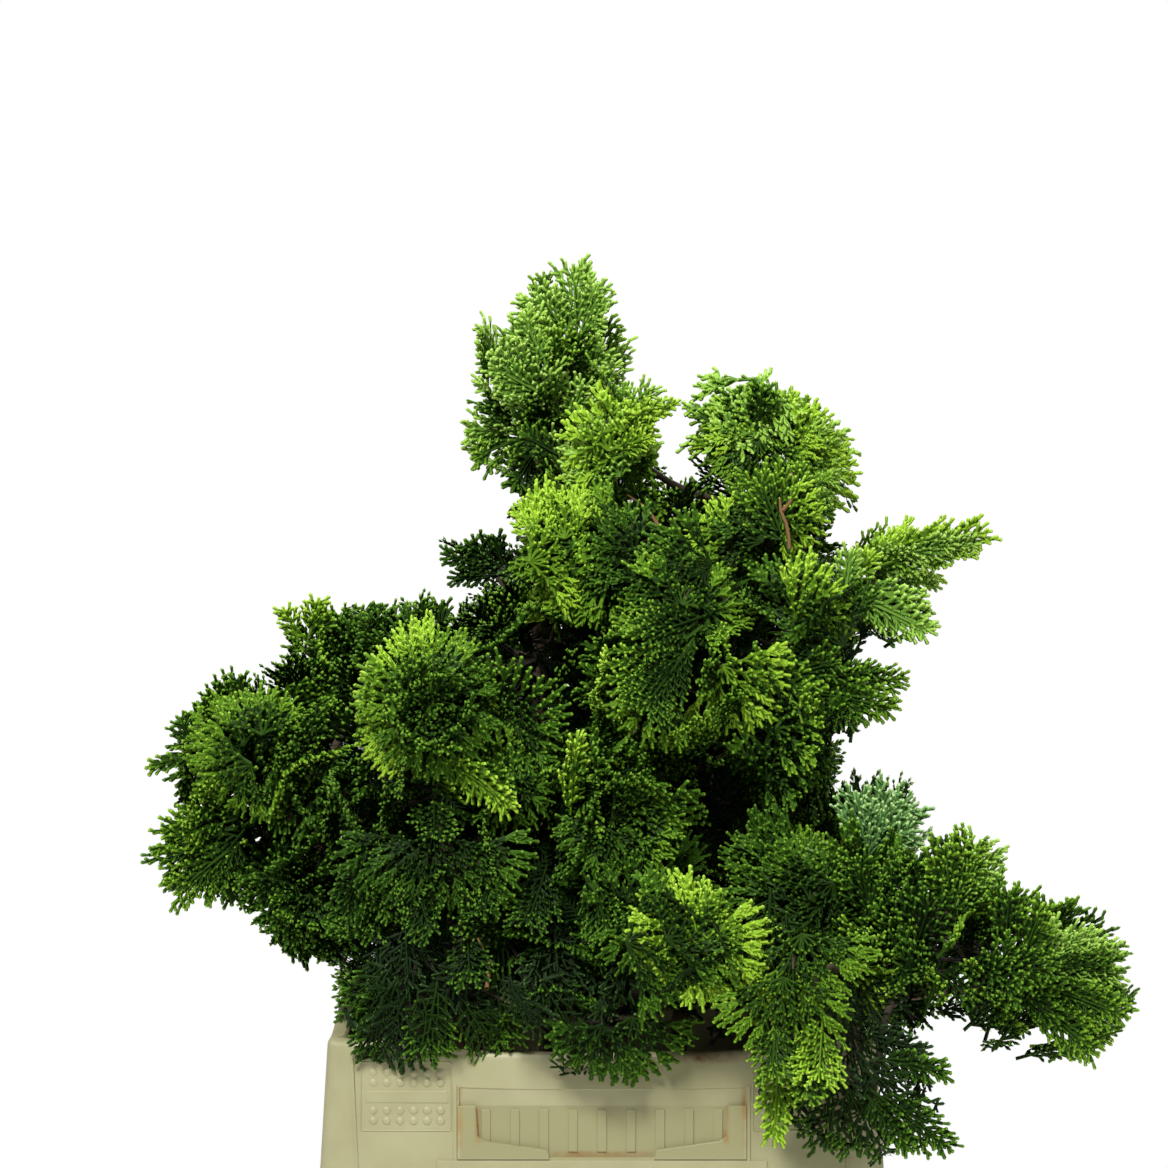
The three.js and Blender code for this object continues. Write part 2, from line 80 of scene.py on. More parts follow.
def table(text):
    """The rows of a table, each ended by a comma or its line, with numbers as numbers."""
    rows = text.replace(",", "\n").splitlines()
    return [[float(word) if word[-1].isdigit() else word for word in row.split()]
            for row in rows if row.strip()]


# Masses of foliage: name, centre, reach along X, Y and Z, habit, the way that it opens or leans,
# limb, tone, and the piece that it is part of.
MASSES = [(row[0], row[1:4], row[4:7], row[7], row[8:11], *row[11:]) for row in table("""
leader_top -20 20 731 24 25 25 plume 0.1 -0.3 1 stem_leader light leader
leader_left -44 5 697 27 30 27 plume -0.5 -0.5 1 stem_leader light leader
leader_right -6 30 696 21 28 26 plume 0.6 -0.2 1 stem_leader light leader
leader_low -39 26 657 33 34 25 plume -0.5 -0.5 1 stem_leader light leader
crest_left 6 -35 660 27 30 32 shell -0.1 -1 0.5 stem_crown lime crown
crown_left -18 -50 602 28 40 42 shell -0.3 -1 0.2 stem_leader lime crown
crest_mid 28 8 608 30 38 28 shell 0 -0.6 0.8 stem_crown green crown
crown_mid 40 -84 583 42 44 32 shell 0 -1 0 stem_crown green crown
crown_right_top 76 15 662 35 34 27 shell 0.1 -0.5 0.8 stem_crown light crown_edge
crown_right_tip 109 30 650 23 32 28 shell 0.5 -0.4 0.6 stem_crown light crown_edge
crown_right 94 -48 615 38 42 34 shell 0.2 -1 0.6 stem_crown green crown
crown_right_low 114 -78 572 32 40 32 shell 0.3 -1 0 stem_crown deep crown
spray_right 166 24 592 36 34 15 plume 1 -0.1 0.35 bough_right_spray lime crown_edge
spray_right_low 142 -10 559 30 40 18 plume 1 -0.5 -0.2 stem_crown green crown_edge
shelf_mid 34 -118 538 38 42 30 plume -0.2 -1 0.1 stem_front fresh crown_edge
side_right 91 -90 508 38 46 36 shell 0.2 -1 -0.1 stem_front green crown
dark_left -59 64 580 31 40 18 plume -1 0 0.4 stem_leader blue skirt
left_top -126 26 541 54 44 31 cup -0.1 -0.5 0.8 stem_left green left
left_outer -199 0 492 42 46 34 cup -0.3 -1 0.2 bough_left_outer green left
left_outer_low -210 -10 440 31 44 36 cup -0.5 -0.8 0 stem_left green left
left_low -160 -50 412 38 48 40 cup -0.3 -1 -0.2 stem_left deep left
left_mid -158 -60 481 39 48 38 cup -0.1 -1 0 stem_left green left
left_cup -94 -130 526 46 42 40 cup 0.3 -1 0.1 stem_front_left green centre
centre_left -52 -120 486 38 46 40 shell -0.2 -1 0 stem_front_left green centre
centre 2 -134 482 40 48 38 cup 0.3 -1 0.1 stem_front green centre
low_left -105 -124 428 40 48 38 cup -0.2 -1 -0.2 stem_front_left deep centre
low_centre -38 -150 414 42 46 37 cup 0 -1 0 stem_front_left deep centre
low_mid 12 -148 422 38 46 40 shell 0.2 -1 -0.1 stem_front deep centre
skirt_left -102 -188 362 38 32 34 droop 0 -1 -0.5 stem_front_left blue skirt
skirt_mid -24 -202 360 46 28 30 droop 0 -1 -0.6 stem_front blue skirt
front_cup 45 -204 404 31 34 36 shell -0.3 -1 0.4 stem_front green front
hanging 99 -226 362 27 24 58 droop 0 -0.4 -1 stem_right fresh skirt
right_mid 124 -60 438 35 48 27 plume 0.5 -0.8 0.2 stem_crown green right
right_pale 147 66 440 30 46 28 plume 0.3 -0.2 1 stem_crown pale right
right_low 106 -134 424 40 44 38 shell 0.2 -1 0.1 stem_right green front
limb_top 172 -146 421 36 42 34 plume 0.3 -0.4 1 stem_right green right
limb_mid 212 -178 391 40 38 33 plume 0.6 -0.5 0.6 bough_right_limb green right
limb_end 247 -158 376 32 38 35 plume 1 -0.3 0.1 bough_right_limb fresh right
skirt_right 142 -214 324 38 32 42 droop 0.3 -0.5 -1 bough_right_limb blue skirt
left_skirt -132 40 392 44 62 38 droop -1 0 -0.5 stem_left deep skirt
right_skirt 130 8 384 46 62 38 droop 1 -0.2 -0.5 stem_crown deep skirt
back_top 32 90 596 54 54 40 shell 0.2 0.2 -1 stem_back fresh back_high
back_left_high -52 130 518 56 58 44 plume -0.2 0.3 1 stem_back green back_high
back_left -146 92 466 52 58 48 shell 0.3 -0.1 -1 stem_back_left green back_low
back_mid 36 180 512 64 54 56 shell -0.5 -0.3 -0.8 stem_back fresh back_high
back_right 92 112 506 44 60 52 plume 0.4 0.3 1 stem_back green back_right
back_low -86 194 412 72 52 56 shell 0.6 -0.2 -0.8 stem_back_left green back_low
back_low_right 72 200 412 72 50 56 plume 0.5 0.4 0.8 stem_back green back_low
""")]

# Foliage in the gaps between the masses, which hides the stems: centre, reach, the way that it
# faces, and the piece that it is part of. Its dark tone is painted shade in these gaps; it is
# lighter only from some depth on.
LIGHTER = 30
BETWEEN = [("between", row[:3], row[3:6], "plume", row[6:9], None,
            "green" if row[1] > LIGHTER else "deep", row[9]) for row in table("""
-34 -30 540 38 44 32 -0.2 -1 0.2 centre, 58 -72 470 36 40 34 0.1 -1 0 centre
84 -84 452 30 40 28 0.2 -1 0 front, -122 -92 478 22 44 32 -0.2 -1 0 left
-78 -160 388 26 32 24 0 -1 -0.2 skirt, 60 -190 356 28 18 18 0 -1 -0.1 skirt
150 -150 370 36 38 26 0.2 -1 -0.2 right, 36 -16 608 26 34 20 0 -1 0.3 crown
-40 20 450 60 60 60 -0.3 -1 0 centre, 60 40 430 60 60 60 0.4 -1 0 right
0 -20 380 110 150 24 0 0 -1 skirt, 0 130 378 110 60 22 0 0 -1 back_low
-10 172 452 92 44 44 0 1 0 back_low, 0 66 556 60 44 44 0.2 0.6 0.6 back_high
70 60 520 54 44 50 1 0 0.2 back_right, -96 60 490 50 60 50 -1 0.4 0 back_low
-84 -166 436 24 26 34 -0.1 -1 -0.2 centre, -168 -14 514 26 36 20 -0.3 -1 0.3 left
-184 -10 446 24 40 26 -0.3 -1 0 left, 92 18 640 24 30 22 0.1 -1 0.2 crown_edge
-24 22 688 20 22 34 -0.2 -1 0.2 leader, -8 0 640 28 34 26 0 -1 0.2 crown
62 -76 530 34 40 30 0.1 -1 0 crown, 166 -170 360 34 26 18 0.3 -1 -0.2 right
134 -180 350 26 30 30 0.2 -1 -0.3 skirt, -140 -60 448 30 44 28 -0.2 -1 0 left
-86 -144 478 26 30 28 -0.1 -1 0 centre, 52 -24 618 24 34 14 0 -1 0.2 crown
72 -82 560 34 34 24 0.1 -1 0 crown, 54 -100 524 34 34 24 0 -1 0 crown
-28 -62 552 28 40 26 -0.2 -1 0 centre, 206 -172 368 32 26 18 0.2 -1 -0.2 right
172 -150 384 30 34 24 0.2 -1 -0.1 right, 0 176 370 122 34 24 0 1 -0.4 back_low
-114 106 376 36 96 26 -1 0 -0.4 back_low, 112 106 376 36 90 26 1 0 -0.4 back_right
120 -60 386 34 80 30 1 0 -0.3 right, -118 -80 382 26 64 22 -1 -0.2 -0.3 left
60 120 470 70 70 60 0.6 0.8 0 back_right, -90 130 470 70 70 60 -0.6 0.8 0 back_low
-26 70 600 26 40 44 -0.4 1 0.2 back_high, 94 44 580 36 44 40 1 0.4 0.2 back_high
0 50 654 20 26 34 0.2 1 0.2 back_high, 84 44 640 30 26 28 0.4 1 0.2 back_high
-88 -164 424 30 26 30 0 -1 -0.1 centre, -172 6 438 40 44 34 -0.3 -1 0 left
-132 -20 500 36 40 34 0 -1 0 left, -38 -20 530 34 34 34 -0.2 -1 0 centre
-44 -74 546 22 26 18 -0.1 -1 0 centre, -74 -90 380 26 40 20 0 -1 -0.2 centre
-10 16 566 34 36 30 -1 0 0.2 back_high, 12 84 616 30 40 24 -0.8 0.5 0.4 back_high
8 46 588 30 34 32 -1 0.3 0.2 back_high, 60 56 600 30 34 30 1 0.2 0.2 back_high
""")]

# Sprays of each habit: the kind of fan, how far apart they stand on the crown's surface, how long
# they are, how much they lie along it instead of standing out of it, and how they roll and rise;
# and how a mass's own stem arches.
HABITS = {
    "cup": {"kind": "cup", "apart": 25, "length": 41, "lie": 0.80, "roll": 0.35, "rise": 0.05,
            "arch": -0.08},
    "shell": {"kind": "shell", "apart": 25, "length": 43, "lie": 1.6, "roll": 0.3, "rise": 0.15,
              "arch": -0.08},
    "plume": {"kind": "plume", "apart": 20, "length": 46, "lie": 1.5, "roll": 0.35, "rise": 0.10,
              "arch": -0.08},
    "droop": {"kind": "drape", "apart": 20, "length": 48, "lie": 1.5, "roll": 0.5, "rise": -0.70,
              "arch": 0.3},
}

# Sprays that stand out on the front: the place of the root, across and at the height at which it
# is seen from the front; which way it points, in degrees clockwise from straight up; its length;
# how far it is turned about its own axis; kind and tone.
SHOWN_SPRAYS = {
    "leader": """
-14 716 -2 40 0 plume light, -16 712 -36 36 10 plume light, -14 710 20 38 -10 plume light
-12 716 60 18 0 plume light, -34 684 -62 36 10 plume light, -34 682 -40 40 0 plume light
-34 684 -12 42 0 plume light, -30 686 12 38 -15 plume fresh, -16 688 40 31 0 plume light
-14 684 68 24 10 plume fresh, -18 690 14 32 0 plume green, -46 664 -92 31 0 plume light
-42 660 -114 34 10 plume fresh, -40 666 -66 30 30 plume deep, -36 652 -150 27 0 plume green
-30 662 -20 32 20 plume green, -18 668 20 28 0 plume light, -24 650 -60 26 0 plume green
-20 716 -46 33 0 plume light, -30 700 -30 34 20 plume light, 12 668 40 28 0 plume light
24 670 62 22 0 feather lime, 66 654 -84 20 0 feather lime, 66 668 -80 20 0 feather fresh""",
    "dark spray behind the crown on the left": """
-56 586 -72 36 0 feather deep, -56 588 -50 26 0 plume deep, -56 584 -92 30 0 feather deep
-54 590 -20 20 0 plume deep""",
    "crest and left of the crown": """
14 650 -48 38 10 shell lime, 4 652 0 34 0 shell lime, 13 660 40 28 0 plume lime
14 646 -75 38 0 shell light, 10 638 -24 36 0 shell light, 18 628 -44 34 0 shell lime
16 646 8 34 0 plume lime, 8 652 66 22 -10 plume lime, 6 634 -52 32 0 shell lime
14 636 34 22 20 plume fresh, 18 628 112 26 30 plume fresh, -20 604 -8 36 0 shell lime
-14 600 -62 38 10 shell fresh, -4 590 -104 40 15 shell lime, 2 586 -140 34 20 shell fresh
-6 604 40 28 0 shell green""",
    "right of the crown": """
103 596 -22 50 0 plume fresh, 88 602 -52 44 10 shell green, 100 608 22 36 0 plume fresh
70 606 -70 28 20 shell lime, 84 660 -84 33 0 shell light, 83 662 -50 29 10 shell lime
84 664 -28 26 0 plume green, 85 664 8 27 0 plume green, 86 658 -104 36 0 shell lime
82 652 -128 28 10 shell fresh, 86 658 172 36 0 shell fresh, 98 654 196 34 10 shell fresh
94 660 150 30 0 shell lime, 62 674 -84 20 0 feather light, 102 653 14 32 0 shell fresh
104 652 44 35 0 shell lime, 104 650 76 33 10 shell lime, 104 646 104 36 0 shell light
111 640 125 34 0 shell lime, 98 616 104 28 0 shell lime, 106 560 58 38 15 shell lime
104 566 22 34 0 shell green, 106 558 96 32 20 shell fresh, 60 590 -90 40 0 shell green
56 586 -122 44 10 shell deep, 20 596 -60 34 10 shell green, 24 592 -104 36 0 shell deep""",
    "sprays to the right": """
152 589 72 67 0 feather lime, 140 586 70 40 0 feather light, 168 594 69 32 0 feather light
162 594 79 47 15 feather light, 137 578 30 24 0 plume lime, 134 576 6 24 10 plume light
146 586 68 36 20 plume light, 150 580 89 37 0 feather light, 140 577 101 42 0 feather light
140 573 108 45 15 feather fresh, 136 574 115 53 0 feather light, 134 576 124 34 10 feather fresh
114 522 84 55 0 feather fresh, 112 520 97 53 20 feather fresh, 114 525 79 42 0 feather green
112 523 116 36 0 plume green, 104 528 70 30 0 plume green, 66 534 142 42 0 shell lime
80 536 118 42 0 plume fresh, 96 500 100 32 0 cup fresh, 92 480 112 30 10 cup green""",
    "shelf and centre": """
56 556 -128 66 10 plume fresh, 50 546 -142 54 0 plume green, 58 562 -110 50 10 plume green
34 520 -150 34 0 shell fresh, -17 452 2 46 30 feather lime, -20 447 94 26 20 feather fresh
6 450 56 40 30 cup green, 4 444 176 30 0 shell green, 14 446 150 34 0 shell fresh
0 448 206 28 0 shell green, 26 452 118 32 20 shell green, -88 484 122 52 30 feather lime
-70 480 126 34 20 feather fresh, -52 470 150 30 0 shell green""",
    # the small green and deep cups at the bowls' roots are painted shade in the bowls' middles
    "bowls on the left": """
-92 514 -80 54 10 shell lime, -92 512 -128 50 0 shell fresh, -94 516 -34 44 0 shell fresh
-92 510 172 40 0 shell green, -88 516 8 36 0 shell green, -96 512 -70 32 20 cup green
-92 508 -140 32 15 cup green, -94 512 -20 28 20 cup green, -90 508 150 30 10 cup deep
-56 502 0 38 0 bowl green""",
    "left": """
-166 548 -24 22 0 plume lime, -160 550 14 24 0 plume lime, -160 550 40 20 0 plume fresh
-196 490 -32 38 0 shell fresh, -198 486 -82 40 0 shell fresh, -186 496 6 32 0 shell fresh
-226 484 -104 26 0 feather fresh, -192 480 -120 38 0 shell fresh, -202 444 -96 42 0 plume fresh
-200 436 -128 46 0 plume fresh, -202 446 -118 48 0 plume green, -200 450 -54 38 0 cup fresh
-196 444 -142 44 0 plume green, -168 412 -132 36 0 cup deep, -160 408 -162 28 0 cup green
-156 512 190 36 40 plume green, -128 430 150 40 20 plume green, -104 416 158 36 20 plume deep
-130 428 200 36 0 plume deep, -92 442 180 44 0 shell deep, -76 434 150 42 0 shell green
-110 440 200 40 0 shell deep, -60 426 190 38 20 plume deep""",
    "lower front": """
50 392 -75 34 0 shell lime, 50 390 -110 37 10 shell lime, 48 388 -145 36 -10 shell lime
50 390 -38 29 0 shell lime, 50 390 4 27 0 shell lime, 52 388 44 30 0 shell lime
52 384 84 30 10 shell fresh, 54 382 126 40 0 shell lime, 54 384 154 44 0 shell lime
50 380 176 30 20 shell fresh, 94 388 176 40 0 shell green, 110 386 168 44 0 shell fresh
100 362 180 44 0 shell fresh, 128 384 150 38 0 shell fresh, 96 340 184 36 0 plume fresh
97 319 182 48 0 feather lime, 136 372 178 46 10 shell lime, 122 344 184 44 0 plume lime
112 330 180 36 0 plume fresh, -10 420 150 44 20 plume green, -30 424 196 44 10 plume deep
16 340 170 40 0 shell green, 0 336 200 34 0 shell deep, -60 370 170 48 0 drape green
-90 360 190 46 0 drape green, -112 356 170 48 0 drape blue, -76 350 150 46 0 drape green
-36 366 150 50 0 drape deep, -98 350 168 44 0 drape green, -112 362 214 50 0 drape deep
-114 372 221 46 20 drape green, -108 352 202 50 0 drape blue, -120 352 190 40 0 drape deep
-74 390 176 38 0 plume deep, -96 556 -6 17 0 plume green, -88 552 4 20 0 plume green
-196 512 -6 20 0 plume green, -222 488 -30 22 0 plume green, -204 420 176 20 0 plume green""",
    "limb": """
192 396 -4 43 0 plume fresh, 193 396 12 46 0 plume fresh, 193 396 20 47 0 plume light
196 394 34 26 10 plume fresh, 176 396 -6 34 0 plume deep, 222 380 4 32 0 plume green
232 374 20 32 0 plume fresh, 232 370 42 30 0 plume light, 234 368 60 35 10 plume light
238 366 69 40 0 plume light, 240 366 81 45 0 plume light, 242 366 92 44 10 plume green
240 362 102 50 0 feather fresh, 238 360 110 56 0 feather fresh, 236 360 115 48 0 plume green
232 358 120 42 0 plume green, 230 358 132 58 0 feather fresh, 226 360 130 34 10 feather green
222 354 136 28 0 drape deep, 216 352 142 22 0 drape deep, 212 356 150 26 0 drape deep
200 372 120 40 0 plume green, 196 368 96 30 0 plume deep, 214 368 92 36 0 plume green
182 366 112 32 10 plume deep, 166 388 6 44 0 plume deep, 150 392 -14 40 0 plume green
146 428 -10 38 0 plume pale, 146 428 18 41 0 plume pale, 146 428 40 40 0 plume pale
144 430 62 32 0 plume pale""",
    "under the limb": """
144 332 107 37 0 feather blue, 144 326 116 41 0 drape deep, 150 317 99 43 0 feather green
140 322 141 42 0 drape blue, 144 312 132 50 0 drape deep, 148 300 126 56 0 feather green
138 300 150 44 0 drape deep, 146 297 140 40 10 feather green, 134 306 170 48 0 drape green
126 302 184 42 0 drape deep""",
}
# Dry twigs that show on the front: the places that each runs through.
DRY_TWIGS = [[(103, 598), (102, 610), (98, 620), (99, 636)], [(99, 619), (106, 628), (104, 640)],
             [(32, 610), (24, 621), (14, 628)], [(-63, 356), (-62, 370), (-68, 384)]]
# Gaps in which the sky shows between masses: across, at the height at which it is seen, and how wide.
SKY = [(38, 666, 8), (35, 656, 9), (42, 650, 8), (46, 639, 11), (-72, 574, 8), (-57, 608, 9),
       (-54, 626, 9), (184, 324, 14), (129, 611, 10), (-237, 462, 11), (143, 542, 11),
       (139, 484, 14), (196, 581, 6), (182, 335, 10), (178, 441, 7), (67, 706, 10), (-69, 730, 8),
       (-157, 360, 10), (228, 424, 12), (-104, 580, 8), (180, 314, 7)]
SKY_DEPTH = 8  # how much less full the crown is in the middle of such a gap
LEAN = 0.0717  # fall of the line of sight for each millimetre along Y
SIGHT = (-9.5, 579.0, 4588.0)  # where the line of sight goes, across and up, and from how far

# Greens of a spray: the inner twiglets, darker partly as painted shade, the outer ones and their tips.
TONES = {
    "lime": ((0.085, 0.172, 0.010), (0.235, 0.405, 0.026), (0.37, 0.53, 0.066)),
    "light": ((0.105, 0.215, 0.027), (0.245, 0.425, 0.057), (0.36, 0.52, 0.125)),
    "fresh": ((0.022, 0.056, 0.005), (0.088, 0.185, 0.011), (0.22, 0.38, 0.034)),
    "green": ((0.011, 0.029, 0.003), (0.040, 0.100, 0.007), (0.140, 0.270, 0.022)),
    "deep": ((0.008, 0.021, 0.003), (0.024, 0.064, 0.005), (0.090, 0.190, 0.018)),
    "blue": ((0.008, 0.018, 0.005), (0.018, 0.042, 0.010), (0.070, 0.135, 0.032)),
    "pale": ((0.055, 0.120, 0.032), (0.145, 0.290, 0.080), (0.34, 0.50, 0.19)),
}
TONE_ORDER = list(TONES)
# greens from darkest to lightest, along which a spray steps for painted shade and painted light
PAINTED_LIGHT_LADDER = ["deep", "green", "fresh", "lime"]


# ---------------------------------------------------------------- helpers

class Stream:
    """The same repeatable numbers between 0 and 1 as the CAD source uses."""

    def __init__(self, seed):
        self.state = seed

    def __call__(self):
        self.state = (self.state * 1664525 + 1013904223) % 4294967296
        return self.state / 4294967296

    def between(self, low, high):
        return low + (high - low) * self()


def unit(vector):
    vector = np.asarray(vector, float)
    return vector / np.maximum(np.linalg.norm(vector, axis=-1, keepdims=True), 1e-9)


def turned(vector, axis, angle):
    """A vector turned about an axis of length 1."""
    return (vector * math.cos(angle) + np.cross(axis, vector) * math.sin(angle)
            + axis * np.dot(axis, vector) * (1 - math.cos(angle)))


def smooth_path(points, count):
    """Evenly spaced points along the centripetal curve through the given ones."""
    def on_line(a, b, start, end):
        return a * (end - t) / (end - start) + b * (t - start) / (end - start)

    points = [np.array(p, float) for p in points]
    points = [2 * points[0] - points[1], *points, 2 * points[-1] - points[-2]]
    dense = []
    for p0, p1, p2, p3 in zip(points, points[1:], points[2:], points[3:]):
        t0, t1, t2, t3 = np.cumsum([0, *(np.linalg.norm(b - a) ** 0.5 for a, b in
                                         ((p0, p1), (p1, p2), (p2, p3)))])
        for t in np.linspace(t1, t2, 24, endpoint=False):
            middle = on_line(p1, p2, t1, t2)
            before = on_line(on_line(p0, p1, t0, t1), middle, t0, t2)
            after = on_line(middle, on_line(p2, p3, t2, t3), t1, t3)
            dense.append(on_line(before, after, t1, t2))
    dense = np.array([*dense, points[-2]])
    run = np.concatenate([[0], np.cumsum(np.linalg.norm(np.diff(dense, axis=0), axis=1))])
    stations = np.linspace(0, run[-1], count + 1)
    return np.stack([np.interp(stations, run, dense[:, k]) for k in range(3)], axis=1)


def frames_along(path):
    """Two directions across a path at each of its points, turning as little as they can."""
    along = unit(np.gradient(path, axis=0))
    across = np.array([1.0, 0.0, 0.0])
    firsts = []
    for direction in along:
        across = unit(across - direction * np.dot(across, direction))
        firsts.append(across)
    firsts = np.array(firsts)
    return firsts, np.cross(along, firsts)


def tube(path, radii, sides):
    """Points and triangles of an open tube along a path."""
    first, second = frames_along(path)
    angles = np.arange(sides) * 2 * math.pi / sides
    ring = (first[:, None] * np.cos(angles)[None, :, None]
            + second[:, None] * np.sin(angles)[None, :, None])
    points = path[:, None] + ring * np.asarray(radii, float).reshape(-1, 1, 1)
    return points.reshape(-1, 3), tube_faces(len(path), sides)


def tube_faces(rings, sides):
    """Two triangles for each side between one ring of points and the next."""
    here = np.arange((rings - 1) * sides)
    beside = here - here % sides + (here + 1) % sides
    return np.stack([here, beside, beside + sides, here, beside + sides, here + sides],
                    axis=1).reshape(-1, 3)


class Heap:
    """Triangles that are gathered here and then made into one mesh."""

    def __init__(self):
        self.points = []
        self.faces = []
        self.tones = []
        self.count = 0

    def add(self, points, faces, tones=0):
        self.points.append(points)
        self.faces.append(faces + self.count)
        self.tones.append(np.broadcast_to(tones, len(faces)))
        self.count += len(points)

    def arrays(self):
        return np.concatenate(self.points), np.concatenate(self.faces), np.concatenate(self.tones)

    def make(self, name, materials):
        points, faces, tones = self.arrays()
        mesh = bpy.data.meshes.new(name)
        mesh.vertices.add(len(points))
        mesh.vertices.foreach_set("co", (points * MM).astype(np.float32).ravel())
        mesh.loops.add(faces.size)
        mesh.loops.foreach_set("vertex_index", faces.astype(np.int32).ravel())
        mesh.polygons.add(len(faces))
        mesh.polygons.foreach_set("loop_start", np.arange(0, faces.size, 3, dtype=np.int32))
        used, slots = np.unique(tones, return_inverse=True)
        mesh.polygons.foreach_set("material_index", slots.astype(np.int32))
        mesh.polygons.foreach_set("use_smooth", np.ones(len(faces), bool))
        for k in used:
            mesh.materials.append(materials[k])
        mesh.update(calc_edges=True)
        made = bpy.data.objects.new(name, mesh)
        bpy.context.scene.collection.objects.link(made)
        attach(made, "root")
        return made


# ---------------------------------------------------------------- materials

def shader(name, colour=(0.5, 0.5, 0.5), roughness=0.5):
    """A new material and its shader node."""
    material = bpy.data.materials.new(name)
    material.use_nodes = True
    principled = material.node_tree.nodes["Principled BSDF"]
    principled.inputs["Base Color"].default_value = (*colour, 1)
    principled.inputs["Roughness"].default_value = roughness
    return material, principled


def node(material, kind, links=(), **settings):
    """A new node; settings that name an input give its value, the others are properties."""
    made = material.node_tree.nodes.new(kind)
    for key, value in settings.items():
        if key in made.inputs:
            made.inputs[key].default_value = value
        else:
            setattr(made, key, value)
    for source, socket in links:
        material.node_tree.links.new(source, made.inputs[socket])
    return made


def object_place(material):
    """The place on the object, in metres."""
    return node(material, "ShaderNodeTexCoord").outputs["Object"]


def noise(material, place, scale, detail, roughness=0.5):
    """Cloudy values between 0 and 1."""
    return node(material, "ShaderNodeTexNoise", [(place, "Vector")], Scale=scale, Detail=detail,
                Roughness=roughness).outputs["Fac"]


def ranged(material, value, low, high, **settings):
    """0 where a value is at its low end and 1 at its high end."""
    return node(material, "ShaderNodeMapRange", [(value, "Value")],
                **{"From Min": low, "From Max": high}, **settings).outputs["Result"]


def ramp(material, value, *stops):
    """Colours that go with a value: the place and the colour of each stop."""
    made = node(material, "ShaderNodeValToRGB", [(value, "Fac")])
    elements = made.color_ramp.elements
    for _ in stops[2:]:
        elements.new(0.5)
    for element, (position, colour) in zip(elements, stops):
        element.position = position
        element.color = (*colour, 1)
    return made.outputs["Color"]


def laid_over(material, share, under, colour):
    """A colour laid over another one where a share says so."""
    made = node(material, "ShaderNodeMix", [(share, 0)], data_type="RGBA")
    made.inputs[7].default_value = (*colour, 1)
    material.node_tree.links.new(under, made.inputs[6])
    return made.outputs[2]


def finished(material, principled, colour, height, strength, distance):
    """Joins a colour and a bump to the shader."""
    bump = node(material, "ShaderNodeBump", [(height, "Height")], Strength=strength,
                Distance=distance)
    material.node_tree.links.new(colour, principled.inputs["Base Color"])
    material.node_tree.links.new(bump.outputs["Normal"], principled.inputs["Normal"])
    return material


def foliage_materials():
    """Three plain greens for each tone, and then those of WOOD, SHADE and DRY."""
    plain = [(f"foliage_{tone}_{part}", colour, 0.5, 0.05) for tone, colours in TONES.items()
             for part, colour in zip(("inner", "outer", "tip"), colours)]
    # the twigs' brown is kept dark as painted shade of the crown that they stand in
    plain += [("twig_brown_shaded", (0.032, 0.021, 0.009), 0.8, 0.5),
              ("foliage_shade", (0.007, 0.017, 0.004), 0.9, 0.0),
              ("twig_dry", (0.135, 0.068, 0.018), 0.8, 0.5)]
    made = []
    for name, colour, roughness, gloss in plain:
        material, principled = shader(name, colour, roughness)
        principled.inputs["Specular IOR Level"].default_value = gloss
        made.append(material)
    return made


def bark_material():
    """Reddish-brown bark that peels in long fibres, with greyer patches, its browns kept dark as
    painted shade of the crown around the stems.
    """
    material, principled = shader("bark", roughness=0.85)
    place = object_place(material)
    stretch = node(material, "ShaderNodeMapping", [(place, "Vector")], Scale=(1, 1, 0.12))
    fibres = noise(material, stretch.outputs["Vector"], 620, 6, 0.65)
    brown = ramp(material, fibres, (0.32, (0.022, 0.012, 0.007)), (0.5, (0.070, 0.038, 0.018)),
                 (0.70, (0.14, 0.085, 0.045)))
    grey = ranged(material, noise(material, place, 42, 3), 0.48, 0.66, **{"To Max": 0.6})
    colour = laid_over(material, grey, brown, (0.09, 0.075, 0.055))
    return finished(material, principled, colour, fibres, 0.55, 0.0008)


# ---------------------------------------------------------------- fans of twiglets

# the inner green is partly the plant's own darker growth and partly painted shade inside a fan
INNER_SHADED, OUTER, TIP = 0, 1, 2
WOOD = 3 * len(TONE_ORDER)
SHADE = WOOD + 1
DRY = WOOD + 2

# A fan's ribs spread from its stalk and fork on their way to its rim; twiglets stand along them,
# more upright near the stalk than at the rim. Lengths are in millimetres.
KINDS = {
    "cup": {"spread": 1.25, "rib_gap": 5.4, "gap": 2.8, "twiglet": 5.0, "radius": 1.3, "splay": 0.5,
            "lifts": (1.10, 0.50), "leafy": 1.3, "bowl": 0.30, "curl": 0.75},
    "shell": {"spread": 1.35, "rib_gap": 5.2, "gap": 2.7, "twiglet": 4.9, "radius": 1.3,
              "splay": 0.5, "lifts": (0.80, 0.30), "leafy": 1.3, "bowl": -0.10, "curl": -0.45},
    "bowl": {"spread": math.pi, "rib_gap": 5.4, "gap": 2.8, "twiglet": 5.0, "radius": 1.3,
             "splay": 0.45, "lifts": (1.25, 0.35), "leafy": 1.2, "bowl": 0.42, "curl": 0.0},
    "plume": {"first": 0.10, "rib_gap": 4.9, "gap": 3.2, "twiglet": 5.8, "radius": 1.2,
              "splay": 0.46, "lifts": (0.6, 0.25), "leafy": 0.9, "bowl": 0.06, "curl": 0.25,
              "width": 0.46, "bow": 0.10},
    "feather": {"first": 0.06, "rib_gap": 4.7, "gap": 3.1, "twiglet": 5.6, "radius": 1.2,
                "splay": 0.50, "lifts": (0.6, 0.2), "leafy": 0.9, "bowl": 0.05, "curl": 0.2,
                "width": 0.26, "bow": 0.10},
    "drape": {"first": 0.10, "rib_gap": 6.4, "gap": 3.7, "twiglet": 6.6, "radius": 1.05,
              "splay": 0.50, "lifts": (0.3, 0.1), "leafy": 0.6, "bowl": -0.08, "curl": -0.6,
              "width": 0.40, "bow": 0.24},
}
